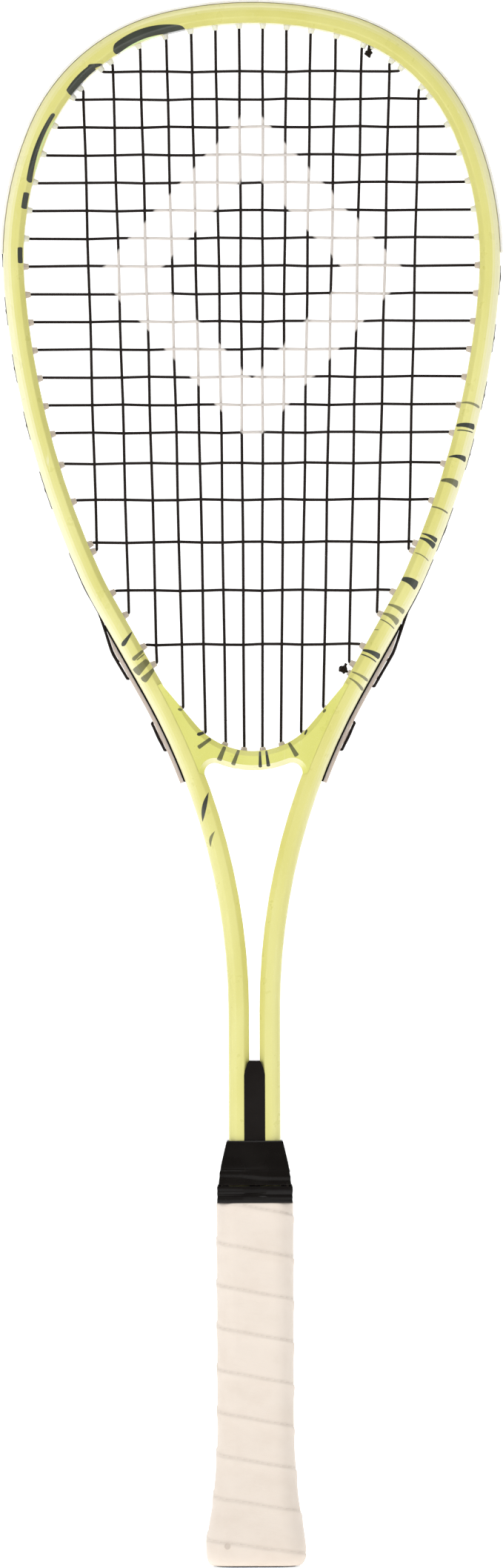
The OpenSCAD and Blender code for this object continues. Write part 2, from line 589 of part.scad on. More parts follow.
// ---------------------------------------------------------------- handle
module rounded_rect(w, d, r) {
    square([w - 2 * r, d], center = true);
    square([w, d - 2 * r], center = true);
    for (x = [-1, 1], y = [-1, 1]) translate([x * (w / 2 - r), y * (d / 2 - r)]) circle(r = r, $fn = 32);
}
core_w = grip_w - 2 * wrap_t;
core_d = grip_d - 2 * wrap_t;
corner_r = 9;
cap_top = 24;
cap_floor = 14;                              // depth of the cap under the pallet
core_top = 166.2;
flare_top = 56;                              // height where the flare has run out
wrap_foot = 0.6;                             // the wrap ends just short of the butt
tenon_h = 6;                                 // thinner top of the wrap, under the finishing tape
tenon_in = 1.1;                              // how much narrower it is
// Levels of the butt's flare: [height, share of the full flare].
LEVELS = [[0, 0.5], [1.2, 0.72], [3, 0.9], [6, 1], [11, 0.98], [16, 0.81], [20.5, 0.66], [28, 0.4],
          [42, 0.15], [flare_top, 0]];
module flare_solid(inset, bottom, top) {
    for (i = [0:len(LEVELS) - 2]) {
        a = LEVELS[i];
        b = LEVELS[i + 1];
        end = min(b[0], top);
        if (a[0] < top) hull() {
            flare_slice(max(a[0], bottom), a[1], inset);
            flare_slice(end - 0.01, a[1] + (b[1] - a[1]) * (end - a[0]) / (b[0] - a[0]), inset);
        }
    }
}
module flare_slice(z, share, inset) {
    translate([0, 0, z]) linear_extrude(0.01)
        rounded_rect(grip_w + 2 * (flare * share - inset), grip_d + 2 * (flare * share - inset), corner_r);
}
module throat_wedge() {
    foot = 170;
    tip_w = 5.4;
    face_w = leg_gap + 2 * bevel;
    flank = [[face_w / 2, foot], [face_w / 2, wedge_top - 6.5], [face_w / 2 - 0.5, wedge_top - 4],
             [tip_w / 2 + 0.4, wedge_top - 1], [tip_w / 2 - 0.4, wedge_top]];
    color(ink) difference() {
        rotate([90, 0, 0]) linear_extrude(tube_d - 0.1, center = true)
            polygon(concat(flank, [for (i = [len(flank) - 1:-1:0]) flip(flank[i], -1)]));
        both_sides() leg_straight(foot - 1, wedge_top + 1) envelope_profile(fit);
        translate([0, 0, foot - 1]) linear_extrude(wedge_top - foot - 6)
            square([leg_gap - 2, tube_d - 9], center = true);
    }
}
module pallet(s) {
    color([0.45, 0.36, 0.27]) difference() {
        translate([0, 0, cap_floor]) linear_extrude(core_top - cap_floor) intersection() {
            rounded_rect(core_w, core_d, corner_r - wrap_t);
            translate([-core_w, s > 0 ? fit / 2 : -core_d]) square([2 * core_w, core_d - fit / 2]);
        }
        translate([0, 0, leg_foot - 0.5]) linear_extrude(200)
            square([leg_gap + 2 * tube_w + 0.2, tube_d + 0.2], center = true);
    }
}
module pallet_front() { pallet(-1); }
module pallet_back() { pallet(1); }
module butt_cap() {
    cap_wall = 3;
    color(ink) difference() {
        flare_solid(wrap_t + fit, 0, cap_top);
        translate([0, 0, cap_floor - fit]) linear_extrude(cap_top)
            rounded_rect(core_w + 2 * fit, core_d + 2 * fit, corner_r - wrap_t);
        translate([0, 0, cap_wall]) cylinder(r = 8, h = cap_top);
    }
}
module grip_wrap() {
    color(bone) difference() {
        union() {
            flare_solid(0, wrap_foot, flare_top);
            translate([0, 0, flare_top - 0.01]) linear_extrude(grip_top - flare_top + fit)
                rounded_rect(grip_w, grip_d, corner_r);
            translate([0, 0, grip_top]) linear_extrude(tenon_h)
                rounded_rect(grip_w - tenon_in, grip_d - tenon_in, corner_r - 0.5);
        }
        flare_solid(wrap_t - 0.01, -1, cap_top + 1);
        translate([0, 0, cap_top]) linear_extrude(200)
            rounded_rect(core_w + 2 * fit, core_d + 2 * fit, corner_r - wrap_t);
        tack_body(0.03);
    }
}
tack_at = [-12.5, 9.4];                      // place of the tack on the front of the flare
module tack_body(g) {
    depth = grip_d / 2 + flare;
    translate([tack_at[0], -depth - 0.3, tack_at[1]]) rotate([-90, 0, 0]) {
        cylinder(r = 1.3 + g, h = 1.1);
        cylinder(r = 0.5 + g, h = wrap_t);
    }
}
module grip_tack() {
    color("dimgray") tack_body(0);
}
module finishing_tape() {
    tape_w = grip_w - 0.2;
    tape_d = grip_d - 0.2;
    tape_h = 7.4;
    bore = tenon_in - 0.06;
    color(ink) translate([0, 0, grip_top + 2 * fit]) difference() {
        linear_extrude(tape_h) rounded_rect(tape_w, tape_d, corner_r);
        translate([0, 0, -1]) linear_extrude(tape_h + 2)
            rounded_rect(grip_w - bore, grip_d - bore, corner_r - 0.5);
    }
}
module rubber_collar() {
    top_w = 24.8;
    color(ink) difference() {
        union() {
            hull() {
                translate([0, 0, collar_z]) linear_extrude(0.5) rounded_rect(32, 28, 8.5);
                translate([0, 0, collar_z + 7]) linear_extrude(0.1) rounded_rect(30.8, 26.6, 8.5);
            }
            hull() {
                translate([0, 0, collar_z + 7]) linear_extrude(0.1) rounded_rect(30.4, 26.2, 8);
                translate([0, 0, collar_z + collar_len - 0.6]) linear_extrude(0.6)
                    rounded_rect(top_w, 21.4, 5);
            }
        }
        translate([0, 0, collar_z - 1]) linear_extrude(collar_len + 2)
            rounded_rect(leg_gap + 2 * tube_w + 0.3, tube_d + 0.3, 2.5);
    }
}

frame_tube();
throat_bridge();
head_bumper();
side_strip_left();
side_strip_right();
bridge_strip();
strip_liner_left();
strip_liner_right();
main_string();
cross_string();
tie_knot_upper();
tie_knot_lower();
throat_wedge();
pallet_front();
pallet_back();
butt_cap();
grip_wrap();
grip_tack();
finishing_tape();
rubber_collar();
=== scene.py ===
"""Squash racket: paint, woven strings, knots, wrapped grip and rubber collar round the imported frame."""
from __future__ import annotations

import json
import logging
import math
from collections.abc import Callable
from dataclasses import dataclass, field
from enum import Enum
from functools import reduce

import bmesh
import bpy
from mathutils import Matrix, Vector

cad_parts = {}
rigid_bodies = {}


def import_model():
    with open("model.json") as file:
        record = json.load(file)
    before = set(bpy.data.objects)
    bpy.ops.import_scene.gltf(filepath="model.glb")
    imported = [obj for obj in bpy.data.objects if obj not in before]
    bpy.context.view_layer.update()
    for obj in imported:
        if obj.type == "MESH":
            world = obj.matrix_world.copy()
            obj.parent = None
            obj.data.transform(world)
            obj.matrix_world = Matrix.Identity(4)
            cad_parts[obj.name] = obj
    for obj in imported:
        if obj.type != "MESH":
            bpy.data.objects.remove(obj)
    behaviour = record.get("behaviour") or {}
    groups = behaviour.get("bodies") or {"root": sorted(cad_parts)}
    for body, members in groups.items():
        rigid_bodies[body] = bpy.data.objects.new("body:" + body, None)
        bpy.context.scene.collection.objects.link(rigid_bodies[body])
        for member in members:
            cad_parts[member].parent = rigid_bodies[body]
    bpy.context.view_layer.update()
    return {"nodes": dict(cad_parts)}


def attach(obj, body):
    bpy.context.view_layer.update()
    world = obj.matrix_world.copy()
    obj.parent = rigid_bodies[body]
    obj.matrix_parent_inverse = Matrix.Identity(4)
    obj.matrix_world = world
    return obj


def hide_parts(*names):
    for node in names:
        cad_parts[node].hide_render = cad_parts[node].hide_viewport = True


for _spare in list(bpy.data.objects):
    bpy.data.objects.remove(_spare)
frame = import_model()

LOG = logging.getLogger("squash_racket")
MM = 0.001
Point2 = tuple[float, float]
Point3 = tuple[float, float, float]
Colour = tuple[float, float, float]


class Body(str, Enum):
    """Moving bodies of the racket."""

    RACKET = "racket"
    COLLAR = "collar"


class Side(Enum):
    """Sides of the racket, seen from the front."""

    LEFT = -1
    RIGHT = 1


# ------------------------------------------------------------------------------------------ outline


@dataclass(frozen=True)
class Arc:
    """One arc of the hoop's right half, in millimetres and degrees of heading."""

    centre: Vector
    radius: float
    start: float
    end: float


def compass(heading: float) -> Vector:
    """Gives the outward direction at a heading: 0 is up at the tip, 90 is to the right."""
    return Vector((math.sin(math.radians(heading)), math.cos(math.radians(heading))))


def onward(heading: float) -> Vector:
    """Gives the direction along the tube at a heading, away from the tip."""
    return Vector((math.cos(math.radians(heading)), -math.sin(math.radians(heading))))


@dataclass(frozen=True)
class Port:
    """A hole that the string passes through: its station, its mouth in the bed and its outer end."""

    station: float
    mouth: Vector
    exit: Vector
    outward: Vector
    face: float


@dataclass
class Hoop:
    """The middle line of the frame tube and the places of its string holes, in millimetres."""

    total_length: float = 685.0
    tube_width: float = 9.0
    leg_gap: float = 4.6
    groove: float = 1.9
    apex: Point2 = (157.0, 14.2)
    shoulder: Point2 = (80.5, 52.8)
    flank: Point2 = (144.0, 27.6)
    side_radius: float = 380.0
    side_slope: float = 24.5
    waist_radius: float = 137.0
    throat_slope: float = 29.35
    leg_radius: float = 289.0
    bumper_out: float = 1.2
    barrel_out: float = 2.2
    mouth_gap: float = 0.4
    bridge_radius: float = 33.0
    bridge_height: float = 389.4
    bridge_turn: float = 50.0
    bridge_bar: float = 8.4
    tail_rate: float = 3.0
    ramp_from: float = 4.0
    ramp: float = 18.0
    channel: float = 2.8
    strip_skin: float = 0.85
    bridge_skin: float = 1.05
    tail_proud: float = 2.4
    top_spacing: Point2 = (10.3, 0.0235)
    low_spacing: Point2 = (8.3, 0.052)
    bridge_rank: int = 2
    ear_rank: int = 4
    top_cross: float = 653.8
    cross_pitch: float = 12.15
    even_crosses: int = 14
    cross_opening: float = 1.28
    mains: int = 14
    crosses: int = 19
    arcs: list[Arc] = field(default_factory=list)

    def __post_init__(self) -> None:
        """Chains the arcs from the tip down to the straight tail and the leg's bend."""
        self.half = self.tube_width / 2
        self.turns = [0.0, self.apex[1]]
        self.turns.append(self.turns[-1] + self.shoulder[1])
        self.turns.append(self.turns[-1] + self.flank[1])
        self.turns.append(90.0 + self.side_slope)
        self.turns.append(90.0 + self.throat_slope)
        radii = [self.apex[0], self.shoulder[0], self.flank[0], self.side_radius, self.waist_radius]
        centre = Vector((0.0, self.total_length - self.bumper_out - self.half - radii[0]))
        self.arcs = []
        for index, radius in enumerate(radii):
            if index:
                centre = centre + (radii[index - 1] - radius) * compass(self.turns[index])
            self.arcs.append(Arc(centre.copy(), radius, self.turns[index], self.turns[index + 1]))
        self.last = self.turns[-1]
        self.tail_start = centre + radii[-1] * compass(self.last)
        leg_x = (self.leg_gap + self.tube_width) / 2
        reach = self.tail_start.x - leg_x - self.leg_radius * (1 - math.sin(math.radians(self.last)))
        self.tail_length = reach / -math.cos(math.radians(self.last))
        self.leg_centre = (self.tail_start + self.tail_length * onward(self.last)
                           + self.leg_radius * compass(self.last))
        self.floor = self.half - self.groove + self.strip_skin
        self.proud = self.half + self.tail_proud
        self.mouth_offset = self.half + self.barrel_out + self.mouth_gap
        self.bridge_exit = self.bridge_radius + self.bridge_bar - self.channel + self.bridge_skin
        self.bridge_centre = Vector((0.0, self.bridge_height))

    def heading(self, station: float) -> float:
        """Gives the heading of the tube at a station of the right side.

        Args:
            station: place along the hoop: a heading in degrees down to the tail, negative on the left.

        Returns:
            The heading, in degrees.
        """
        if station < self.last:
            return station
        past = max(0.0, (station - self.last) * self.tail_rate - self.tail_length)
        return self.last - math.degrees(past / self.leg_radius)

    def right(self, station: float, offset: float) -> Vector:
        """Gives a point of the right side.

        Args:
            station: place along the hoop, a heading in degrees down to the tail.
            offset: distance outward from the middle of the tube.

        Returns:
            The point in the plane of the strings.
        """
        if station < self.last:
            arc = next(a for a in self.arcs if station < a.end)
            return arc.centre + (arc.radius + offset) * compass(station)
        run = (station - self.last) * self.tail_rate
        if run < self.tail_length:
            return self.tail_start + run * onward(self.last) + offset * compass(self.last)
        return self.leg_centre - (self.leg_radius - offset) * compass(self.heading(station))

    def point(self, station: float, offset: float) -> Vector:
        """Gives a point of either side; the left side has negative stations."""
        spot = self.right(abs(station), offset)
        return Vector((-spot.x, spot.y)) if station < 0 else spot

    def face(self, station: float) -> float:
        """Gives the offset of the grommet strip's outer face at a station.

        Args:
            station: place along the hoop: a heading in degrees down to the tail, negative on the left.

        Returns:
            The offset outward from the middle of the tube, in millimetres.
        """
        run = (abs(station) - self.last) * self.tail_rate
        rise = max(0.0, min(1.0, (run - self.ramp_from) / self.ramp))
        return self.floor + rise * (self.proud - self.floor)

    def port(self, station: float, stand: float) -> Port:
        """Makes a port through the tube whose barrel stands some way out of the inner wall.

        Args:
            station: place along the hoop: a heading in degrees down to the tail, negative on the left.
            stand: how far the barrel stands out of the inner wall, in millimetres.

        Returns:
            The port.
        """
        outward = compass(self.heading(abs(station)))
        if station < 0:
            outward.x = -outward.x
        face = self.face(station)
        return Port(station, self.point(station, -self.half - stand - self.mouth_gap),
                    self.point(station, face), outward, face)

    def _solve(self, value: float, axis: int, low: float, high: float) -> float:
        """Finds the station between two limits where the line of mouths has a given coordinate.

        Args:
            value: the coordinate wanted, in millimetres.
            axis: 0 for across and 1 for up.
            low: lowest station to try.
            high: highest station to try.

        Returns:
            The station.
        """
        ends = [self.right(station, -self.mouth_offset)[axis] for station in (low, high)]
        sign = 1 if ends[1] > ends[0] else -1
        for _ in range(60):
            middle = (low + high) / 2
            if (self.right(middle, -self.mouth_offset)[axis] - value) * sign < 0:
                low = middle
            else:
                high = middle
        return (low + high) / 2

    def rank(self, index: int) -> float:
        """Gives how far main string number index is from the middle of the bed, in strings."""
        return abs(index - (self.mains + 1) / 2)

    def top_port(self, index: int) -> Port:
        """Gives the upper port of a main string.

        Args:
            index: number of the main string, from the left.

        Returns:
            The port.
        """
        rank = self.rank(index)
        side = 1 if index > self.mains / 2 else -1
        across = self.top_spacing[0] * rank + self.top_spacing[1] * rank ** 3
        station = self._solve(across, 0, 0.0, self.turns[2])
        return self.port(side * station, self.barrel_out)

    def low_port(self, index: int) -> Port:
        """Gives the lower port of a main string, in the bridge, an ear or the tube.

        Args:
            index: number of the main string, from the left.

        Returns:
            The port.
        """
        rank = self.rank(index)
        side = 1 if index > self.mains / 2 else -1
        across = self.low_spacing[0] * rank + self.low_spacing[1] * rank ** 3
        if rank > self.ear_rank:
            return self.port(side * self._solve(across, 0, 100.0, self.last + 14.0), self.barrel_out)
        if rank > self.bridge_rank:
            back = self.leg_centre - self.bridge_top(across)
            turn = math.degrees(math.atan2(back.x, back.y))
            station = self.last + (self.tail_length
                                   + math.radians(self.last - turn) * self.leg_radius) / self.tail_rate
            return self.port(side * station, back.length - self.leg_radius - self.half + 0.3)
        ray = (self.bridge_top(across) - self.bridge_centre) / self.bridge_radius
        ray.x *= side
        mouth = self.bridge_centre + (self.bridge_radius - 1.4) * ray
        out = self.bridge_centre + self.bridge_exit * ray
        return Port(0.0, mouth, out, ray, 0.0)

    def bridge_top(self, across: float) -> Vector:
        """Gives the point of the bridge's upper edge at a distance from the long axis.

        Args:
            across: distance from the long axis, in millimetres.

        Returns:
            The point, right of the axis.
        """
        turn = math.radians(self.bridge_turn)
        knee = self.bridge_centre + self.bridge_radius * Vector((math.sin(turn), -math.cos(turn)))
        if across < knee.x:
            return Vector((across, self.bridge_height - math.sqrt(self.bridge_radius ** 2 - across ** 2)))
        return Vector((across, knee.y + (across - knee.x) * math.tan(turn)))

    def cross_height(self, number: int) -> float:
        """Gives the height of a cross string."""
        opening = self.cross_opening * max(0, number - self.even_crosses) ** 2
        return self.top_cross - self.cross_pitch * (number - 1) - opening

    def cross_port(self, number: int, side: Side) -> Port:
        """Gives one end of a cross string."""
        station = self._solve(self.cross_height(number), 1, 20.0, self.last + 14.0)
        return self.port(side.value * station, self.barrel_out)


# ------------------------------------------------------------------------------------- node helpers


class Sheet:
    """Short forms for wiring one node tree."""

    def __init__(self, tree: bpy.types.NodeTree) -> None:
        """Keeps the tree that the nodes go into."""
        self.tree = tree

    def node(self, kind: str, **settings: object) -> bpy.types.Node:
        """Adds a node and sets its properties.

        Args:
            kind: type of the node.
            settings: properties to set on it.

        Returns:
            The node.
        """
        made = self.tree.nodes.new(kind)
        for name, value in settings.items():
            setattr(made, name, value)
        return made

    def feed(self, socket: bpy.types.NodeSocket, value: object) -> None:
        """Gives an input either a link or a constant.

        Args:
            socket: the input to feed.
            value: an output to link, or a constant.
        """
        if isinstance(value, bpy.types.NodeSocket):
            self.tree.links.new(value, socket)
        else:
            socket.default_value = value

    def fill(self, node: bpy.types.Node, values: dict[object, object]) -> bpy.types.Node:
        """Feeds several inputs of a node.

        Args:
            node: the node to feed.
            values: an output or a constant for each input name or number.

        Returns:
            The node.
        """
        for name, value in values.items():
            self.feed(node.inputs[name], value)
        return node

    def effect(self, tree: bpy.types.NodeTree, **values: object) -> bpy.types.bpy_prop_collection:
        """Adds a shared effect, feeds its inputs and returns its outputs."""
        return self.fill(self.node("ShaderNodeGroup", node_tree=tree), values).outputs

    def split(self, vector: object) -> bpy.types.bpy_prop_collection:
        """Adds a Separate XYZ node and returns its three outputs."""
        return self.fill(self.node("ShaderNodeSeparateXYZ"), {0: vector}).outputs

    def math(self, operation: str, *values: object, clamp: bool = False) -> bpy.types.NodeSocket:
        """Adds a Math node and returns its result."""
        made = self.node("ShaderNodeMath", operation=operation, use_clamp=clamp)
        return self.fill(made, dict(enumerate(values))).outputs[0]

    def vector(self, operation: str, *values: object) -> bpy.types.NodeSocket:
        """Adds a Vector Math node and returns its result, the value for a dot product or length.

        Args:
            operation: what the node does.
            values: its inputs in order.

        Returns:
            The node's result.
        """
        made = self.node("ShaderNodeVectorMath", operation=operation)
        self.fill(made, dict(enumerate(values)))
        return made.outputs["Value" if operation in ("DOT_PRODUCT", "LENGTH") else "Vector"]

    def ramp(self, value: object, low: float, high: float, start: float = 0.0,
             end: float = 1.0) -> bpy.types.NodeSocket:
        """Maps a value from low..high to start..end, smoothly and clamped.

        Args:
            value: the value to map.
            low: value that gives the start.
            high: value that gives the end.
            start: result at the low value.
            end: result at the high value.

        Returns:
            The mapped value.
        """
        made = self.node("ShaderNodeMapRange", interpolation_type="SMOOTHSTEP")
        self.fill(made, {"Value": value, "From Min": low, "From Max": high, "To Min": start, "To Max": end})
        return made.outputs["Result"]

    def blend(self, factor: object, first: object, second: object) -> bpy.types.NodeSocket:
        """Mixes two colours.

        Args:
            factor: share of the second colour.
            first: first colour.
            second: second colour.

        Returns:
            The mixed colour.
        """
        made = self.node("ShaderNodeMix", data_type="RGBA")
        first, second = ((*c, 1.0) if isinstance(c, tuple) else c for c in (first, second))
        return self.fill(made, {0: factor, 6: first, 7: second}).outputs[2]

    def noise(self, vector: object, scale: object, detail: float = 3.0,
              rough: float = 0.5) -> bpy.types.NodeSocket:
        """Adds a noise texture and returns its value."""
        values = {"Vector": vector, "Scale": scale, "Detail": detail, "Roughness": rough}
        return self.fill(self.node("ShaderNodeTexNoise"), values).outputs[0]

    def place(self) -> bpy.types.NodeSocket:
        """Returns the object coordinates, in metres."""
        return self.node("ShaderNodeTexCoord").outputs["Object"]

    def stretched(self, vector: object, scale: Point3) -> bpy.types.NodeSocket:
        """Scales a vector axis by axis."""
        return self.vector("MULTIPLY", vector, scale)

    def bump(self, height: object, distance: float, strength: float) -> bpy.types.NodeSocket:
        """Adds a Bump node and returns its normal."""
        values = {"Height": height, "Distance": distance, "Strength": strength}
        return self.fill(self.node("ShaderNodeBump"), values).outputs[0]


def group(name: str, inputs: dict[str, str],
          outputs: dict[str, str]) -> tuple[Sheet, bpy.types.Node, bpy.types.Node]:
    """Starts a shader node group.

    Args:
        name: name of the group.
        inputs: socket type of each input.
        outputs: socket type of each output.

    Returns:
        The sheet to wire it with, its input node and its output node.
    """
    tree = bpy.data.node_groups.new(name, "ShaderNodeTree")
    for label, kind in inputs.items():
        tree.interface.new_socket(label, in_out="INPUT", socket_type=kind)
    for label, kind in outputs.items():
        tree.interface.new_socket(label, in_out="OUTPUT", socket_type=kind)
    sheet = Sheet(tree)
    return sheet, sheet.node("NodeGroupInput"), sheet.node("NodeGroupOutput")


FLOAT = "NodeSocketFloat"
VECTOR = "NodeSocketVector"


class SharedEffects:
    """Node groups that more than one material uses."""

    def __init__(self) -> None:
        """Builds each group once."""
        self.bar = self._bar()
        self.grain = self._grain()
        self.wear = self._wear()

    @staticmethod
    def _bar() -> bpy.types.NodeTree:
        """Builds the mask of one painted bar: tapered, bent and soft at its edge.

        Returns:
            The node group.
        """
        sheet, given, out = group(
            "painted_bar",
            {"Vector": VECTOR, "Centre": VECTOR, "Along": VECTOR, "Across": VECTOR, "Length": FLOAT,
             "Width": FLOAT, "Taper": FLOAT, "Bend": FLOAT, "Square": FLOAT}, {"Mask": FLOAT})
        rel = sheet.vector("SUBTRACT", given.outputs["Vector"], given.outputs["Centre"])
        run = sheet.vector("DOT_PRODUCT", rel, given.outputs["Along"])
        side = sheet.vector("DOT_PRODUCT", rel, given.outputs["Across"])
        bow = sheet.math("MULTIPLY", sheet.math("MULTIPLY", run, run), given.outputs["Bend"])
        side = sheet.math("ABSOLUTE", sheet.math("ADD", side, bow))
        share = sheet.math("DIVIDE", run, given.outputs["Length"])
        share = sheet.math("MAXIMUM", sheet.math("MINIMUM", share, 1.2), -1.2)
        end = sheet.math("POWER", sheet.math("ABSOLUTE", share), given.outputs["Square"])
        ends = sheet.math("SUBTRACT", 1.0, end)
        width = sheet.math("MULTIPLY_ADD", share, given.outputs["Taper"], 1.0)
        width = sheet.math("MULTIPLY", sheet.math("MULTIPLY", width, given.outputs["Width"]), ends)
        sheet.feed(out.inputs["Mask"], sheet.ramp(sheet.math("SUBTRACT", width, side), -6e-5, 6e-5))
        return sheet.tree

    @staticmethod
    def _grain() -> bpy.types.NodeTree:
        """Builds the fine texture of moulded plastic and rubber: height for a bump, and mottle for colour.

        Returns:
            The node group.
        """
        sheet, given, out = group("moulded_grain", {"Vector": VECTOR, "Scale": FLOAT},
                                  {"Height": FLOAT, "Mottle": FLOAT})
        place, scale = given.outputs["Vector"], given.outputs["Scale"]
        fine = sheet.noise(place, scale, 2.0, 0.6)
        cells = sheet.node("ShaderNodeTexVoronoi", feature="SMOOTH_F1")
        sheet.fill(cells, {"Vector": place, "Scale": scale})
        sheet.feed(out.inputs["Height"], sheet.math("MULTIPLY_ADD", cells.outputs["Distance"], 0.6, fine))
        broad = sheet.noise(place, 60.0, 3.0, 0.55)
        sheet.feed(out.inputs["Mottle"], sheet.ramp(broad, 0.3, 0.7))
        return sheet.tree

    @staticmethod
    def _wear() -> bpy.types.NodeTree:
        """Builds a mask of faint scuffs and hairline scratches.

        Returns:
            The node group.
        """
        sheet, given, out = group("light_wear", {"Vector": VECTOR, "Amount": FLOAT}, {"Mask": FLOAT})
        long = sheet.noise(sheet.stretched(given.outputs["Vector"], (260.0, 900.0, 40.0)), 1.0, 4.0, 0.7)
        cut = sheet.ramp(long, 0.62, 0.72)
        patch = sheet.ramp(sheet.noise(given.outputs["Vector"], 35.0, 2.0), 0.5, 0.62)
        mask = sheet.math("MULTIPLY", sheet.math("MULTIPLY", cut, patch), given.outputs["Amount"], clamp=True)
        sheet.feed(out.inputs["Mask"], mask)
        return sheet.tree


# ------------------------------------------------------------------------------------------ finishes


@dataclass(frozen=True)
class Bar:
    """A painted bar between two ends, in millimetres in the plane of the strings."""

    start: Point2
    end: Point2
    width: float
    taper: float = 0.0
    bow: float = 0.0
    square: float = 8.0
    strength: float = 1.0

    def wire(self, sheet: Sheet, effects: SharedEffects, place: bpy.types.NodeSocket) -> bpy.types.NodeSocket:
        """Places this bar's mask in a material and returns it.

        Args:
            sheet: the sheet of the material.
            effects: the shared node groups.
            place: object coordinates, in metres.

        Returns:
            The mask, 1 on the bar.
        """
        a, b = Vector(self.start) * MM, Vector(self.end) * MM
        along = (b - a).normalized()
        middle = (a + b) / 2 + self.bow * MM * Vector((-along.y, along.x))
        half = (b - a).length / 2
        mask = sheet.effect(
            effects.bar, Vector=place, Centre=(middle.x, 0.0, middle.y), Along=(along.x, 0.0, along.y),
            Across=(-along.y, 0.0, along.x), Length=half, Width=self.width * MM / 2, Taper=self.taper,
            Bend=self.bow * MM / half ** 2, Square=self.square)["Mask"]
        return sheet.math("MULTIPLY", mask, self.strength) if self.strength < 1 else mask


def material(name: str) -> tuple[Sheet, bpy.types.Node]:
    """Starts a material and returns its sheet and its Principled BSDF.

    Args:
        name: name of the material.

    Returns:
        The sheet, and the shader node.
    """
    made = bpy.data.materials.new(name)
    made.use_nodes = True
    sheet = Sheet(made.node_tree)
    return sheet, made.node_tree.nodes["Principled BSDF"]


@dataclass(frozen=True)
class Lacquer:
    """Satin lacquer with dark painted bars, pale edge lines, faint brushed streaks, painted shade and painted
    highlight.
    """

    name: str
    base: Colour
    deep: Colour
    # inner: painted shade, mixed in on faces turned towards the hoop's middle and near the tip
    inner: Colour
    # outer: painted highlight, mixed in on faces turned away from the hoop's middle
    outer: Colour
    bars: tuple[Bar, ...]
    lines: tuple[Bar, ...] = ()
    ink: Colour = (0.026, 0.031, 0.021)
    centre: Point3 = (0.0, 0.0, 0.53)
    line: Colour = (0.62, 0.80, 0.36)
    fleck: Colour = (0.95, 0.95, 0.72)
    scuffed: Colour = (0.84, 0.83, 0.62)

    def build(self, effects: SharedEffects) -> bpy.types.Material:
        """Builds the material.

        Args:
            effects: the shared node groups.

        Returns:
            The material.
        """
        sheet, bsdf = material(self.name)
        place = sheet.place()
        streak = sheet.noise(sheet.stretched(place, (70.0, 20.0, 18.0)), 1.0, 2.0, 0.4)
        colour = sheet.blend(sheet.ramp(streak, 0.35, 0.7), self.base, self.deep)
        # painted shade: faces turned towards the hoop's middle take up to 0.4 of the inner colour
        inward = sheet.vector("NORMALIZE", sheet.vector("SUBTRACT", self.centre, place))
        facing = sheet.vector("DOT_PRODUCT", inward, sheet.node("ShaderNodeNewGeometry").outputs["Normal"])
        colour = sheet.blend(sheet.ramp(facing, 0.15, 0.75, 0.0, 0.4), colour, self.inner)
        # painted highlight: faces turned away from the hoop's middle take up to 0.85 of the paler outer
        # colour
        colour = sheet.blend(sheet.ramp(facing, -0.1, -0.7, 0.0, 0.85), colour, self.outer)
        # painted shade: from 0.57 m up towards the tip, up to 0.55 of the inner colour is mixed in
        colour = sheet.blend(sheet.ramp(sheet.split(place)[2], 0.57, 0.68, 0.0, 0.55), colour, self.inner)
        flake = sheet.noise(place, 2600.0, 1.0, 0.5)
        colour = sheet.blend(sheet.ramp(flake, 0.62, 0.8, 0.0, 0.18), colour, self.fleck)
        if self.lines:
            colour = sheet.blend(self._all(sheet, effects, place, self.lines), colour, self.line)
        rough = sheet.ramp(sheet.noise(place, 160.0), 0.3, 0.7, 0.27, 0.36)
        shade = sheet.blend(sheet.ramp(sheet.noise(place, 90.0, 2.0), 0.3, 0.7), self.ink,
                            tuple(1.35 * c for c in self.ink))
        colour = sheet.blend(self._all(sheet, effects, place, self.bars), colour, shade)
        wear = sheet.effect(effects.wear, Vector=place, Amount=0.5)["Mask"]
        colour = sheet.blend(wear, colour, self.scuffed)
        rough = sheet.math("MULTIPLY_ADD", wear, 0.25, rough)
        orange_peel = sheet.bump(sheet.noise(place, 700.0, 2.0, 0.4), 2.5e-5, 0.35)
        sheet.fill(bsdf, {"Base Color": colour, "Roughness": rough, "Coat Weight": 0.35,
                          "Coat Roughness": 0.12, "IOR": 1.5, "Normal": orange_peel})
        return bpy.data.materials[self.name]

    @staticmethod
    def _all(sheet: Sheet, effects: SharedEffects, place: bpy.types.NodeSocket,
             marks: tuple[Bar, ...]) -> bpy.types.NodeSocket:
        """Joins the masks of several bars."""
        masks = [mark.wire(sheet, effects, place) for mark in marks]
        return reduce(lambda total, mask: sheet.math("MAXIMUM", total, mask), masks)


@dataclass(frozen=True)
class Moulded:
    """Moulded plastic, rubber or foam with a fine grain and light wear."""

    name: str
    base: Colour
    mottle: Colour
    rough: Point2 = (0.4, 0.55)
    grain: float = 900.0
    relief: float = 2.0e-5
    wear: float = 0.5
    worn: Colour = (0.3, 0.3, 0.3)
    subsurface: float = 0.0
    coat: float = 0.0
    gleam: float = 0.5

    def build(self, effects: SharedEffects) -> bpy.types.Material:
        """Builds the material.

        Args:
            effects: the shared node groups.

        Returns:
            The material.
        """
        sheet, bsdf = material(self.name)
        place = sheet.place()
        grain = sheet.effect(effects.grain, Vector=place, Scale=self.grain)
        wear = sheet.effect(effects.wear, Vector=place, Amount=self.wear)["Mask"]
        colour = sheet.blend(wear, sheet.blend(grain["Mottle"], self.base, self.mottle), self.worn)
        rough = sheet.ramp(grain["Mottle"], 0.0, 1.0, *self.rough)
        sheet.fill(bsdf, {"Base Color": colour, "Roughness": rough,
                          "Normal": sheet.bump(grain["Height"], self.relief, 0.6), "Coat Weight": self.coat,
                          "Specular IOR Level": self.gleam})
        if self.subsurface:
            sheet.fill(bsdf, {"Subsurface Weight": self.subsurface, "Subsurface Radius": (1.0, 0.8, 0.6),
                              "Subsurface Scale": 0.002})
        return bpy.data.materials[self.name]


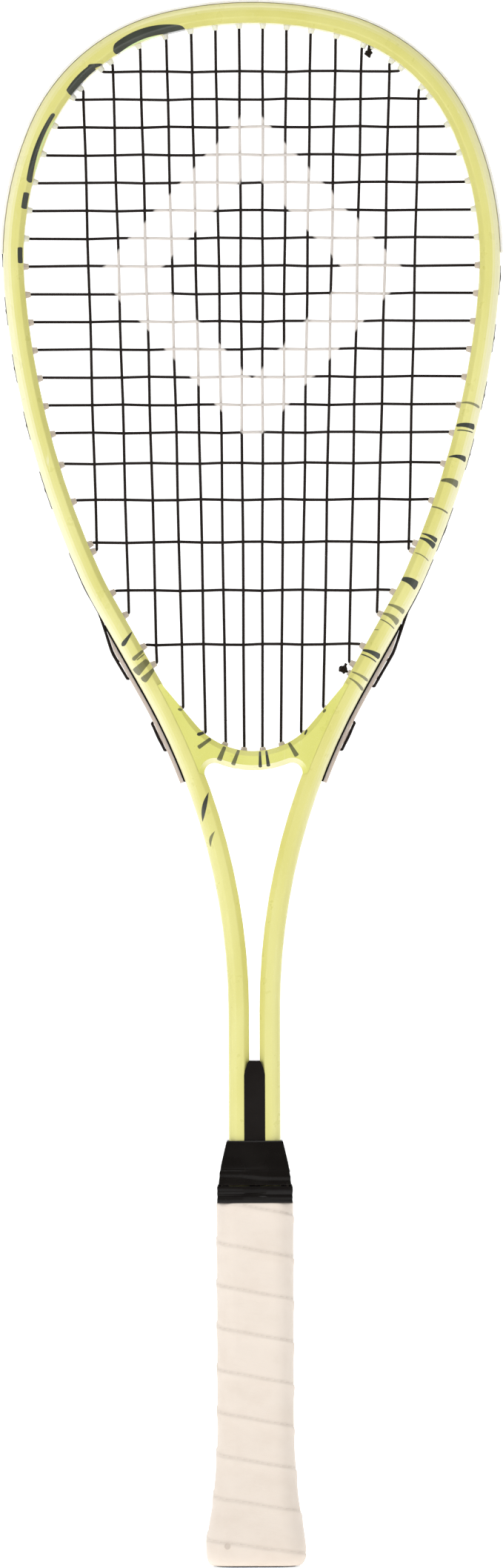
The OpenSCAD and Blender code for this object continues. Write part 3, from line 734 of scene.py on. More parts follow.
@dataclass(frozen=True)
class StringFinish:
    """Dark multifilament string with a spiral of outer filaments and a cream print across the bed."""

    name: str
    base: Colour = (0.010, 0.006, 0.005)
    filament: Colour = (0.026, 0.017, 0.013)
    cream: Colour = (0.69, 0.64, 0.60)
    print_centre: Point2 = (0.0, 0.565)
    print_reach: Point2 = (0.068, 0.074)
    print_band: float = 0.38
    twist: float = 1.1
    starts: int = 4

    def build(self) -> bpy.types.Material:
        """Builds the material; the piece's UV map runs round the string and along it in metres.

        Returns:
            The material.
        """
        sheet, bsdf = material(self.name)
        place = sheet.place()
        uv = sheet.split(sheet.node("ShaderNodeUVMap", uv_map="wrap").outputs[0])
        turn = sheet.math("MULTIPLY_ADD", uv[1], self.twist / MM, uv[0])
        ridge = sheet.math("SINE", sheet.math("MULTIPLY", turn, 2 * math.pi * self.starts))
        colour = sheet.blend(sheet.ramp(ridge, 0.2, 1.0, 0.0, 0.5), self.base, self.filament)
        mask = self._print(sheet, place)
        colour = sheet.blend(mask, colour, self.cream)
        sheet.fill(bsdf, {"Base Color": colour, "Roughness": sheet.ramp(mask, 0.0, 1.0, 0.34, 0.6),
                          "Normal": sheet.bump(ridge, 2.0e-5, 0.5), "Specular IOR Level": 0.12})
        return bpy.data.materials[self.name]

    def _print(self, sheet: Sheet, place: bpy.types.NodeSocket) -> bpy.types.NodeSocket:
        """Builds the mask of a plain hollow diamond sprayed on the strings through a stencil.

        Args:
            sheet: the sheet of the material.
            place: object coordinates, in metres.

        Returns:
            The mask, 1 on the print.
        """
        parts = sheet.split(place)
        reach = sheet.math("MULTIPLY", sheet.math("SUBTRACT", sheet.noise(place, 240.0, 2.0), 0.5), 0.05)
        for part, centre, size in zip((parts[0], parts[2]), self.print_centre, self.print_reach):
            share = sheet.math("DIVIDE", sheet.math("SUBTRACT", part, centre), size)
            reach = sheet.math("ADD", reach, sheet.math("ABSOLUTE", share))
        half, soft = self.print_band / 2, 0.012
        off = sheet.math("ABSOLUTE", sheet.math("SUBTRACT", reach, 1 - half))
        return sheet.ramp(off, half - soft, half + soft, 0.94, 0.0)


@dataclass(frozen=True)
class GripFinish:
    """Matt synthetic leather with fine pores, creases along the wrap and painted shade along the seams."""

    name: str
    base: Colour = (0.790, 0.702, 0.618)
    shade: Colour = (0.730, 0.636, 0.548)

    def build(self, effects: SharedEffects) -> bpy.types.Material:
        """Builds the material; the piece's UV map has turns along x and the place in the wrap along y.

        Args:
            effects: the shared node groups.

        Returns:
            The material.
        """
        sheet, bsdf = material(self.name)
        place = sheet.place()
        uv = sheet.node("ShaderNodeUVMap", uv_map="wrap").outputs[0]
        blotch = sheet.noise(sheet.stretched(place, (1.0, 1.0, 1.6)), 55.0, 4.0, 0.6)
        colour = sheet.blend(sheet.ramp(blotch, 0.38, 0.72, 0.0, 0.55), self.base, self.shade)
        # painted shade: the tape darkens just beside each seam, over its groove
        seam = sheet.ramp(sheet.split(uv)[1], 0.0, 0.10, 0.55, 0.0)
        colour = sheet.blend(seam, colour, tuple(0.82 * c for c in self.shade))
        pores = sheet.node("ShaderNodeTexVoronoi", feature="F1")
        pores = sheet.fill(pores, {"Vector": place, "Scale": 1500.0}).outputs["Distance"]
        grain = sheet.effect(effects.grain, Vector=place, Scale=2200.0)["Height"]
        crease = sheet.noise(sheet.stretched(uv, (3.0, 14.0, 1.0)), 2.2, 4.0, 0.62)
        height = sheet.math("MULTIPLY_ADD", crease, 2.4, grain)
        height = sheet.math("MULTIPLY_ADD", pores, 0.5, height)
        colour = sheet.blend(sheet.ramp(pores, 0.0, 0.35, 0.16, 0.0), colour, self.shade)
        sheet.fill(bsdf, {"Base Color": colour, "Roughness": sheet.ramp(blotch, 0.3, 0.7, 0.62, 0.74),
                          "Normal": sheet.bump(height, 5.0e-5, 0.6), "Sheen Weight": 0.12,
                          "Sheen Roughness": 0.5})
        return bpy.data.materials[self.name]


# ------------------------------------------------------------------------------------- mesh helpers


def deselect() -> None:
    """Leaves nothing selected and object mode active."""
    if bpy.context.object and bpy.context.object.mode != "OBJECT":
        bpy.ops.object.mode_set(mode="OBJECT")
    bpy.ops.object.select_all(action="DESELECT")


def finish_piece(piece: bpy.types.Object, dressing: bpy.types.Material, body: Body, slot: str,
                 *replaced: str) -> bpy.types.Object:
    """Dresses a piece, puts it on its body and hides the CAD nodes that it stands for.

    Args:
        piece: the new object.
        dressing: its material.
        body: the body that it moves with.
        slot: the material slot of the record; not used.
        replaced: CAD nodes that it stands for.

    Returns:
        The piece.
    """
    piece.data.materials.clear()
    piece.data.materials.append(dressing)
    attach(piece, body.value)
    if replaced:
        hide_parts(*replaced)
    LOG.info("piece %s: %d faces on %s", piece.name, len(piece.data.polygons), body.value)
    return piece


def smooth(points: list[Vector], rounds: int) -> list[Vector]:
    """Cuts the corners of a path a number of times, keeping its ends.

    Args:
        points: the path.
        rounds: how many times the corners are cut.

    Returns:
        The rounded path.
    """
    for _ in range(rounds):
        cut = [points[0]]
        for a, b in zip(points, points[1:]):
            cut += [a.lerp(b, 0.25), a.lerp(b, 0.75)]
        points = cut + [points[-1]]
    return points


def link_mesh(name: str, points: list[Point3], faces: list[tuple[int, ...]]) -> bpy.types.Object:
    """Makes a smooth mesh object from points and faces.

    Args:
        name: name of the object.
        points: its points, in metres.
        faces: the points of each face.

    Returns:
        The object, linked to the scene.
    """
    mesh = bpy.data.meshes.new(name)
    mesh.from_pydata(points, [], faces)
    mesh.shade_smooth()
    made = bpy.data.objects.new(name, mesh)
    bpy.context.scene.collection.objects.link(made)
    return made


def tube_mesh(name: str, points: list[Vector], radius: float, sides: int = 10) -> bpy.types.Object:
    """Sweeps a round section along a path, with closed ends and a UV map that runs along it.

    Args:
        name: name of the object.
        points: the path, in metres.
        radius: radius of the section.
        sides: corners of the section.

    Returns:
        The mesh object, with u round the section and v along the path in metres.
    """
    rings, faces, lengths, reach = [], [], [], 0.0
    normal = Vector((0.0, 1.0, 0.0))
    for index, spot in enumerate(points):
        ahead = points[min(index + 1, len(points) - 1)] - points[max(index - 1, 0)]
        tangent = ahead.normalized()
        normal = (normal - tangent * normal.dot(tangent)).normalized()
        other = tangent.cross(normal)
        reach += (spot - points[index - 1]).length if index else 0.0
        lengths.append(reach)
        for k in range(sides):
            turn = 2 * math.pi * k / sides
            rings.append(spot + radius * (math.cos(turn) * normal + math.sin(turn) * other))
    last = (len(points) - 1) * sides
    for start in range(0, last, sides):
        for k in range(sides):
            a, b = start + k, start + (k + 1) % sides
            faces.append((a, b, b + sides, a + sides))
    faces += [tuple(range(sides - 1, -1, -1)), tuple(range(last, last + sides))]
    made = link_mesh(name, [tuple(v) for v in rings], faces)
    layer = made.data.uv_layers.new(name="wrap")
    for face in made.data.polygons:
        row, k = divmod(face.index, sides)
        face.use_smooth = face.index < last
        if face.use_smooth:
            for loop, right, up in zip(face.loop_indices, (0, 1, 1, 0), (0, 0, 1, 1)):
                layer.data[loop].uv = ((k + right) / sides, lengths[row + up])
    return made


# ---------------------------------------------------------------------------------------- string bed


@dataclass
class StringBed:
    """The one-piece string: 14 mains and 19 crosses, woven, with its loops outside the hoop."""

    hoop: Hoop
    radius: float = 0.625
    lift: float = 0.68
    lane: float = 1.35
    stand: float = 0.765
    sag: float = 0.22
    split_gap: float = 1.2
    hump: float = 0.2
    loop_steps: int = 8
    tie_lane: float = 2.75
    tie_barrel: float = 1.0
    shoulder: float = 1.3
    level_share: float = 0.55
    loop_starts: Point2 = (1.1, 0.75)
    drift: Point2 = (1.6, 2.9)
    least_step: float = 0.05

    def cross_at(self, main: int, cross: int) -> Vector:
        """Gives the place where a main and a cross meet, a little uneven as laced by hand.

        Args:
            main: number of the main string, from the left.
            cross: number of the cross string, from the top.

        Returns:
            The point in the bed's plane.
        """
        height = self.hoop.cross_height(cross) + self.sag * math.sin(2.3 * cross + 1.7 * main)
        top, low = self.hoop.top_port(main).mouth, self.hoop.low_port(main).mouth
        share = (height - low.y) / (top.y - low.y)
        across = low.x + (top.x - low.x) * share + 0.6 * self.sag * math.sin(1.1 * cross + 2.9 * main)
        return Vector((across, height))

    def meets(self, main: int, cross: int) -> bool:
        """Tells whether a main and a cross meet inside the bed.

        Args:
            main: number of the main string, from the left.
            cross: number of the cross string, from the top.

        Returns:
            True where they meet.
        """
        height = self.hoop.cross_height(cross)
        top, low = self.hoop.top_port(main).mouth, self.hoop.low_port(main).mouth
        if not low.y + 1 < height < top.y - 1:
            return False
        share = (height - low.y) / (top.y - low.y)
        across = abs(low.x + (top.x - low.x) * share)
        return across < self.hoop.cross_port(cross, Side.RIGHT).mouth.x - 1

    def over(self, main: int, cross: int) -> float:
        """Gives the depth of a main at a crossing: in front of or behind the cross."""
        return -self.lift if (main + cross) % 2 == 0 else self.lift

    @staticmethod
    def raised(spot: Vector, depth: float) -> Vector:
        """Lifts a point of the bed's plane to a depth."""
        return Vector((spot.x, depth, spot.y))

    def through(self, port: Port, inward: bool) -> list[Vector]:
        """Gives the string's run in a port's bore, ending with the bend at its mouth."""
        bore = [self.raised(port.mouth + 1.5 * port.outward, 0.0), self.raised(port.mouth, 0.0)]
        return bore if inward else bore[::-1]

    def main_down(self, main: int) -> list[Vector]:
        """Gives a main string's path from its upper to its lower port.

        Args:
            main: number of the main string, from the left.

        Returns:
            The path, in millimetres.
        """
        path = self.through(self.hoop.top_port(main), True)
        for cross in range(1, self.hoop.crosses + 1):
            if self.meets(main, cross):
                path.append(self.raised(self.cross_at(main, cross), self.over(main, cross)))
        return path + self.through(self.hoop.low_port(main), False)

    def cross_over(self, cross: int) -> list[Vector]:
        """Gives a cross string's path from left to right.

        Args:
            cross: number of the cross string, from the top.

        Returns:
            The path, in millimetres.
        """
        path = self.through(self.hoop.cross_port(cross, Side.LEFT), True)
        for main in range(1, self.hoop.mains + 1):
            if self.meets(main, cross):
                path.append(self.raised(self.cross_at(main, cross), -self.over(main, cross)))
        return path + self.through(self.hoop.cross_port(cross, Side.RIGHT), False)

    def outside(self, station: float, depth: float, extra: float = 0.0) -> Vector:
        """Gives a point of the string lying on the outer face of the strip."""
        return self.raised(self.hoop.point(station, self.hoop.face(station) + self.stand + extra), depth)

    def loop(self, first: Port, second: Port, depth: float) -> list[Vector]:
        """Gives the loop outside the hoop from one port to the next.

        Args:
            first: where it starts.
            second: where it ends.
            depth: depth of the loop beside the ports, in millimetres.

        Returns:
            The path, in millimetres.
        """
        gap = self.loop_starts[0 if abs(first.station) < self.hoop.last - 1 else 1]
        sign, steps = (1 if second.station > first.station else -1), self.loop_steps
        start, end = first.station + sign * gap, second.station - sign * gap
        path = [self.raised(self.hoop.point(first.station, first.face + self.stand), 0.0)]
        for step in range(steps + 1):
            hump = self.hump * math.sin(math.pi * step / steps)
            path.append(self.outside(start + (end - start) * step / steps, depth, hump))
        path.append(self.raised(self.hoop.point(second.station, second.face + self.stand), 0.0))
        return path

    def bridge_loop(self, first: Port, second: Port) -> list[Vector]:
        """Gives the short loop under the bridge between two ports.

        Args:
            first: where it starts.
            second: where it ends.

        Returns:
            The path, in millimetres.
        """
        hoop = self.hoop
        radius = hoop.bridge_exit + self.stand
        middle = (first.outward + second.outward).normalized()
        rays = (first.outward, middle, second.outward)
        return [self.raised(hoop.bridge_centre + radius * ray, 0.0) for ray in rays]

    def tie_stations(self) -> Point2:
        """Gives the stations of the two tie-off holes, upper and lower."""
        upper = self.hoop.top_port(12).station + math.degrees(3.8 / self.hoop.shoulder[0])
        return upper, self.hoop.low_port(12).station + 1.4

    def main_route(self) -> list[Vector]:
        """Gives the path of the string through all mains, from the lower knot to the split.

        Returns:
            The path, in millimetres.
        """
        hoop = self.hoop
        tie = hoop.port(self.tie_stations()[1], self.tie_barrel)
        path = self.loop(hoop.low_port(hoop.mains), tie, -self.tie_lane) + [self.raised(tie.mouth, 0.0)]
        path.reverse()
        for main in range(hoop.mains, 1, -2):
            path += self.main_down(main)[::-1]
            path += self.loop(hoop.top_port(main), hoop.top_port(main - 1), -self.lane)
            path += self.main_down(main - 1)
            if main > 2:
                first, second = hoop.low_port(main - 1), hoop.low_port(main - 2)
                if hoop.rank(main - 1) < hoop.bridge_rank:
                    path += self.bridge_loop(first, second)
                else:
                    path += self.loop(first, second, -self.lane)
        path.append(self.outside(hoop.low_port(1).station, 0.0))
        path.append(self.outside(hoop.low_port(1).station - self.split_gap, -self.lane))
        return path

    def cross_route(self) -> list[Vector]:
        """Gives the path of the string through all crosses, from the split to the upper knot.

        Returns:
            The path, in millimetres.
        """
        hoop = self.hoop
        split = hoop.low_port(1).station - self.split_gap
        lowest = hoop.cross_port(hoop.crosses, Side.LEFT)
        path = [self.outside(split, -self.lane), self.outside(split - self.drift[0], -self.lane)]
        start, end, steps = split - self.drift[1], lowest.station + self.loop_starts[1], 12
        path += [self.outside(start + (end - start) * k / steps, self.lane) for k in range(steps + 1)]
        path.append(self.outside(lowest.station, 0.0))
        for cross in range(hoop.crosses, 0, -1):
            right = cross % 2 == 1
            path += self.cross_over(cross) if right else self.cross_over(cross)[::-1]
            if cross > 1:
                side = Side.RIGHT if right else Side.LEFT
                path += self.loop(hoop.cross_port(cross, side), hoop.cross_port(cross - 1, side), self.lane)
        tie = hoop.port(self.tie_stations()[0], self.tie_barrel)
        path += self.loop(hoop.cross_port(1, Side.RIGHT), tie, self.lane)
        return path + [self.raised(tie.mouth, 0.0)]

    def beside(self, spot: Vector, other: Vector) -> Vector:
        """Gives a point a little way from a crossing towards the next, at nearly the crossing's depth.

        Args:
            spot: the crossing.
            other: the next point of the route.

        Returns:
            The point that keeps the string's wave round.
        """
        near = spot.lerp(other, min(0.4, self.shoulder / max((other - spot).length, 0.01)))
        near.y += (spot.y - near.y) * self.level_share
        return near

    def sweep(self, name: str, route: list[Vector]) -> bpy.types.Object:
        """Rounds a route's corners and sweeps the string along it.

        Args:
            name: name of the object.
            route: the path, in millimetres.

        Returns:
            The mesh object.
        """
        firm = [route[0]]
        for before, spot, after in zip(route, route[1:], route[2:]):
            firm += [self.beside(spot, before), spot, self.beside(spot, after)]
        firm.append(route[-1])
        clean = [firm[0]]
        for spot in firm[1:]:
            if (spot - clean[-1]).length > self.least_step:
                clean.append(spot)
        return tube_mesh(name, [p * MM for p in smooth(clean, 1)], self.radius * MM)

    def build(self, finish: bpy.types.Material) -> None:
        """Builds both stretches of the string and its two knots.

        Args:
            finish: material of the piece.
        """
        for name, route, node in (("woven_mains", self.main_route(), "main_string"),
                                  ("woven_crosses", self.cross_route(), "cross_string")):
            finish_piece(self.sweep(name, route), finish, Body.RACKET, "dark_gut", node)
            LOG.info("%s: %.2f m of string", name, sum((b - a).length for a, b in zip(route, route[1:])) * MM)
        upper, lower = self.tie_stations()
        for name, station, node in (("knot_at_tip", upper, "tie_knot_upper"),
                                    ("knot_at_throat", lower, "tie_knot_lower")):
            finish_piece(self.knot(name, station), finish, Body.RACKET, "dark_gut", node)

    def knot(self, name: str, station: float) -> bpy.types.Object:
        """Models a double half hitch pulled tight at a barrel's mouth, with its cut end standing out.

        Args:
            name: name of the object.
            station: place of the tie-off hole along the hoop.

        Returns:
            The mesh object.
        """
        port = self.hoop.port(station, self.tie_barrel)
        inward = self.raised(-port.outward, 0.0)
        side = inward.cross(Vector((0.0, 1.0, 0.0)))
        front = Vector((0.0, -1.0, 0.0))
        start = self.raised(port.mouth, 0.0)
        up = Vector((0.0, 0.0, 1.0))
        path = [start - inward * 0.6, start + inward * 0.8, start + inward * 2.5 + up * 0.2,
                start + inward * 3.2 + up * 0.9]
        turns, size, steps = 2.4, 1.12, 12
        for step in range(int(turns * steps) + 1):
            angle = 2 * math.pi * step / steps
            along = 2.9 - 2.3 * step / (turns * steps)
            swell = size * (1 + 0.14 * math.sin(1.7 * angle + 0.5))
            path.append(start + inward * along + side * swell * math.cos(angle)
                        + front * swell * math.sin(angle))
        path += [start + inward * 1.0 + up * 1.9 + front * 0.9,
                 start + inward * 0.4 + up * 3.3 + front * 0.7]
        return tube_mesh(name, [p * MM for p in smooth(path, 1)], self.radius * 0.92 * MM, 12)


# --------------------------------------------------------------------------------------------- handle


@dataclass(frozen=True)
class RoundedBox:
    """A cross-section: a rectangle with round corners, in millimetres."""

    width: float
    depth: float
    corner: float

    def radius(self, angle: float) -> float:
        """Gives the distance from the middle to the outline in a direction.

        Args:
            angle: direction from the long axis, in radians.

        Returns:
            The distance, in millimetres.
        """
        cx, cy = abs(math.cos(angle)), abs(math.sin(angle))
        inner_x, inner_y = self.width / 2 - self.corner, self.depth / 2 - self.corner
        flat_x = self.width / 2 / cx if cx > 1e-9 else math.inf
        flat_y = self.depth / 2 / cy if cy > 1e-9 else math.inf
        if flat_x * cy <= inner_y:
            return flat_x
        if flat_y * cx <= inner_x:
            return flat_y
        toward = inner_x * cx + inner_y * cy
        return toward + math.sqrt(max(0.0, self.corner ** 2 - (inner_x * cy - inner_y * cx) ** 2))


def lathe_grid(name: str, rows: list[list[Point3]], uvs: list[list[Point2]]) -> bpy.types.Object:
    """Builds a closed-round skin from rings of points.

    Args:
        name: name of the object.
        rows: rings from bottom to top, each with the same number of points, in metres.
        uvs: the UV of each point, with one more column than points so that the seam closes.

    Returns:
        The mesh object, open at both ends.
    """
    count = len(rows[0])
    faces = []
    for start in range(0, (len(rows) - 1) * count, count):
        for k in range(count):
            a, b = start + k, start + (k + 1) % count
            faces.append((a, b, b + count, a + count))
    made = link_mesh(name, [p for row in rows for p in row], faces)
    layer = made.data.uv_layers.new(name="wrap")
    for face in made.data.polygons:
        row, k = divmod(face.index, count)
        for loop, right, up in zip(face.loop_indices, (0, 1, 1, 0), (0, 0, 1, 1)):
            layer.data[loop].uv = uvs[row + up][k + right]
    return made


@dataclass
class Grip:
    """The wrapped handle: a tape wound in a spiral over the pallet and its flared butt."""

    width: float = 33.4
    depth: float = 29.0
    corner: float = 9.0
    flare: float = 5.1
    bottom: float = 0.6
    top: float = 158.9
    pitch: float = 18.5
    overlap: float = 0.42
    columns: int = 160
    row_step: float = 0.5
    levels: tuple[Point2, ...] = ((0.0, 0.5), (1.2, 0.72), (3.0, 0.9), (6.0, 1.0), (11.0, 0.98), (16.0, 0.81),
                                  (20.5, 0.66), (28.0, 0.4), (42.0, 0.15), (56.0, 0.0), (200.0, 0.0))

    def spread(self, height: float) -> float:
        """Gives how far the butt flares out at a height, eased between its levels.

        Args:
            height: height, in millimetres.

        Returns:
            The flare, in millimetres.
        """
        for (z0, s0), (z1, s1) in zip(self.levels, self.levels[1:]):
            if height <= z1:
                share = max(0.0, (height - z0) / (z1 - z0))
                return self.flare * (s0 + (s1 - s0) * share)
        return 0.0

    def flare_at(self, height: float) -> float:
        """Gives the flare averaged over a short height, so that it has no corners."""
        reach = min(4.0, max(0.2, height * 0.3))
        return sum(self.spread(max(0.0, height + reach * (k - 3) / 3)) for k in range(7)) / 7

    def wrap_share(self, angle: float, height: float) -> float:
        """Gives the place within one turn of the tape, 0 at the seam and rising upwards."""
        turn = (angle / (2 * math.pi) + 0.25) % 1.0
        return ((height + self.pitch * turn - 9.0) / self.pitch) % 1.0

    def relief(self, angle: float, height: float) -> float:
        """Gives the height of the tape's surface: a raised lip at each seam, rolled at its edge.

        Args:
            angle: direction from the long axis, in radians.
            height: height, in millimetres.

        Returns:
            The height over the section, in millimetres.
        """
        share = self.wrap_share(angle, height)
        wobble = 0.04 * math.sin(3 * angle + height * 0.35) + 0.03 * math.sin(5 * angle - height * 0.21)
        lip = self.overlap * math.exp(-((1 - share) * self.pitch / 3.2) ** 2)
        edge = 1 - math.exp(-((1 - share) * self.pitch / 0.45) ** 2)
        groove = -0.22 * math.exp(-(share * self.pitch / 0.7) ** 2)
        return lip * edge + groove + wobble

    def build(self, finish: bpy.types.Material) -> bpy.types.Object:
        """Builds the wrapped tape as one skin with a rolled lower edge and a tenon under the band.

        Args:
            finish: material of the piece.

        Returns:
            The piece.
        """
        count = int((self.top - self.bottom) / self.row_step)
        rings = [(self.bottom + 0.9, -1.9), (self.bottom + 0.25, -1.1)]
        rings += [(self.bottom + k * self.row_step, 0.0) for k in range(count)] + [(self.top, 0.0)]
        rings += [(self.top + rise, inset) for rise, inset in ((0.1, -0.35), (0.1, -0.62), (6.0, -0.62),
                                                               (6.0, -1.9))]
        rows = [[self._spot(k, height, inset) for k in range(self.columns)] for height, inset in rings]
        uvs = [[self._uv(k, height) for k in range(self.columns + 1)] for height, _ in rings]
        skin = lathe_grid("wound_grip", rows, uvs)
        return finish_piece(skin, finish, Body.RACKET, "grip_tape", "grip_wrap")

    def _spot(self, column: int, height: float, inset: float) -> Point3:
        """Gives a point of the skin, in metres.

        Args:
            column: number of the point round the ring.
            height: height, in millimetres.
            inset: how far the point lies outside the section, negative for inside.

        Returns:
            The point.
        """
        angle = 2 * math.pi * column / self.columns
        flare = self.flare_at(height)
        section = RoundedBox(self.width + 2 * flare, self.depth + 2 * flare, self.corner)
        foot = max(0.0, 1 - (height - self.bottom) / 1.6)
        top = min(1.0, max(0.0, (self.top - height) / 1.2))
        radius = section.radius(angle) - 0.8 * (1 - math.sqrt(max(0.0, 1 - foot * foot))) + inset
        if not inset:
            radius += self.relief(angle, height) * min(1.0, (height - self.bottom) / 4.0) * top
        return radius * math.cos(angle) * MM, radius * math.sin(angle) * MM, height * MM

    def _uv(self, column: int, height: float) -> Point2:
        """Gives the UV of a point: turns round the handle, and the share of the tape's width."""
        angle = 2 * math.pi * column / self.columns
        return column / self.columns, self.wrap_share(angle, height)


@dataclass(frozen=True)
class Block:
    """A block with rounded upright edges, in millimetres, modelled from a cube."""

    width: float
    depth: float
    corner: float
    low: float
    high: float

    def add(self, name: str, arc_steps: int = 12) -> bpy.types.Object:
        """Adds the block as a new object, left in object mode.

        Args:
            name: name of the object.
            arc_steps: faces along each rounded edge.

        Returns:
            The object, at the origin, with its place in its mesh.
        """
        deselect()
        bpy.ops.mesh.primitive_cube_add(size=1.0, location=(0.0, 0.0, (self.low + self.high) / 2 * MM))
        block = bpy.context.active_object
        block.name = block.data.name = name
        block.scale = (self.width * MM, self.depth * MM, (self.high - self.low) * MM)
        bpy.ops.object.transform_apply(location=True, rotation=True, scale=True)
        bpy.ops.object.mode_set(mode="EDIT")
        bpy.ops.mesh.select_all(action="DESELECT")
        form = bmesh.from_edit_mesh(block.data)
        for edge in form.edges:
            edge.select_set(abs(edge.verts[0].co.z - edge.verts[1].co.z) > 0.5 * MM)
        bmesh.update_edit_mesh(block.data)
        bpy.ops.mesh.bevel(offset=self.corner * MM, segments=arc_steps, affect="EDGES")
        bpy.ops.object.mode_set(mode="OBJECT")
        return block


def edit(piece: bpy.types.Object) -> None:
    """Opens a piece in edit mode, alone.

    Args:
        piece: the object.
    """
    deselect()
    bpy.context.view_layer.objects.active = piece
    bpy.ops.object.mode_set(mode="EDIT")


def slice_block(piece: bpy.types.Object, axis: int, places: list[float]) -> None:
    """Cuts new edges through a piece across an axis, at each place in millimetres.

    Args:
        piece: the object.
        axis: 0, 1 or 2 for x, y or z.
        places: where to cut, in millimetres.
    """
    edit(piece)
    normal = tuple(1.0 if k == axis else 0.0 for k in range(3))
    for place in places:
        bpy.ops.mesh.select_all(action="SELECT")
        bpy.ops.mesh.bisect(plane_co=tuple(n * place * MM for n in normal), plane_no=normal)
    bpy.ops.object.mode_set(mode="OBJECT")


def scale_ring(piece: bpy.types.Object, height: float, across: float, deep: float) -> None:
    """Scales the ring of a piece at a height about the long axis.

    Args:
        piece: the object.
        height: height, in millimetres.
        across: factor along x.
        deep: factor along y.
    """
    bpy.ops.mesh.select_all(action="DESELECT")
    form = bmesh.from_edit_mesh(piece.data)
    for vert in form.verts:
        vert.select_set(abs(vert.co.z - height * MM) < 0.02 * MM)
    form.select_flush(True)
    bmesh.update_edit_mesh(piece.data)
    bpy.ops.transform.resize(value=(across, deep, 1.0), center_override=(0.0, 0.0, height * MM))


def bore(piece: bpy.types.Object, cutter: Block) -> None:
    """Cuts a block-shaped hole through a piece.

    Args:
        piece: the object.
        cutter: the shape of the hole.
    """
    tool = cutter.add("bore_cutter", 6)
    deselect()
    bpy.context.view_layer.objects.active = piece
    cut = piece.modifiers.new("bore", "BOOLEAN")
    cut.operation, cut.solver, cut.object = "DIFFERENCE", "EXACT", tool
    bpy.ops.object.modifier_apply(modifier="bore")
    bpy.data.objects.remove(tool)


def soften(piece: bpy.types.Object, degrees: float) -> None:
    """Shades a piece smooth, apart from edges sharper than an angle.

    Args:
        piece: the object.
        degrees: sharpest angle that is shaded smooth.
    """
    deselect()
    piece.select_set(True)
    bpy.context.view_layer.objects.active = piece
    bpy.ops.object.shade_smooth_by_angle(angle=math.radians(degrees))


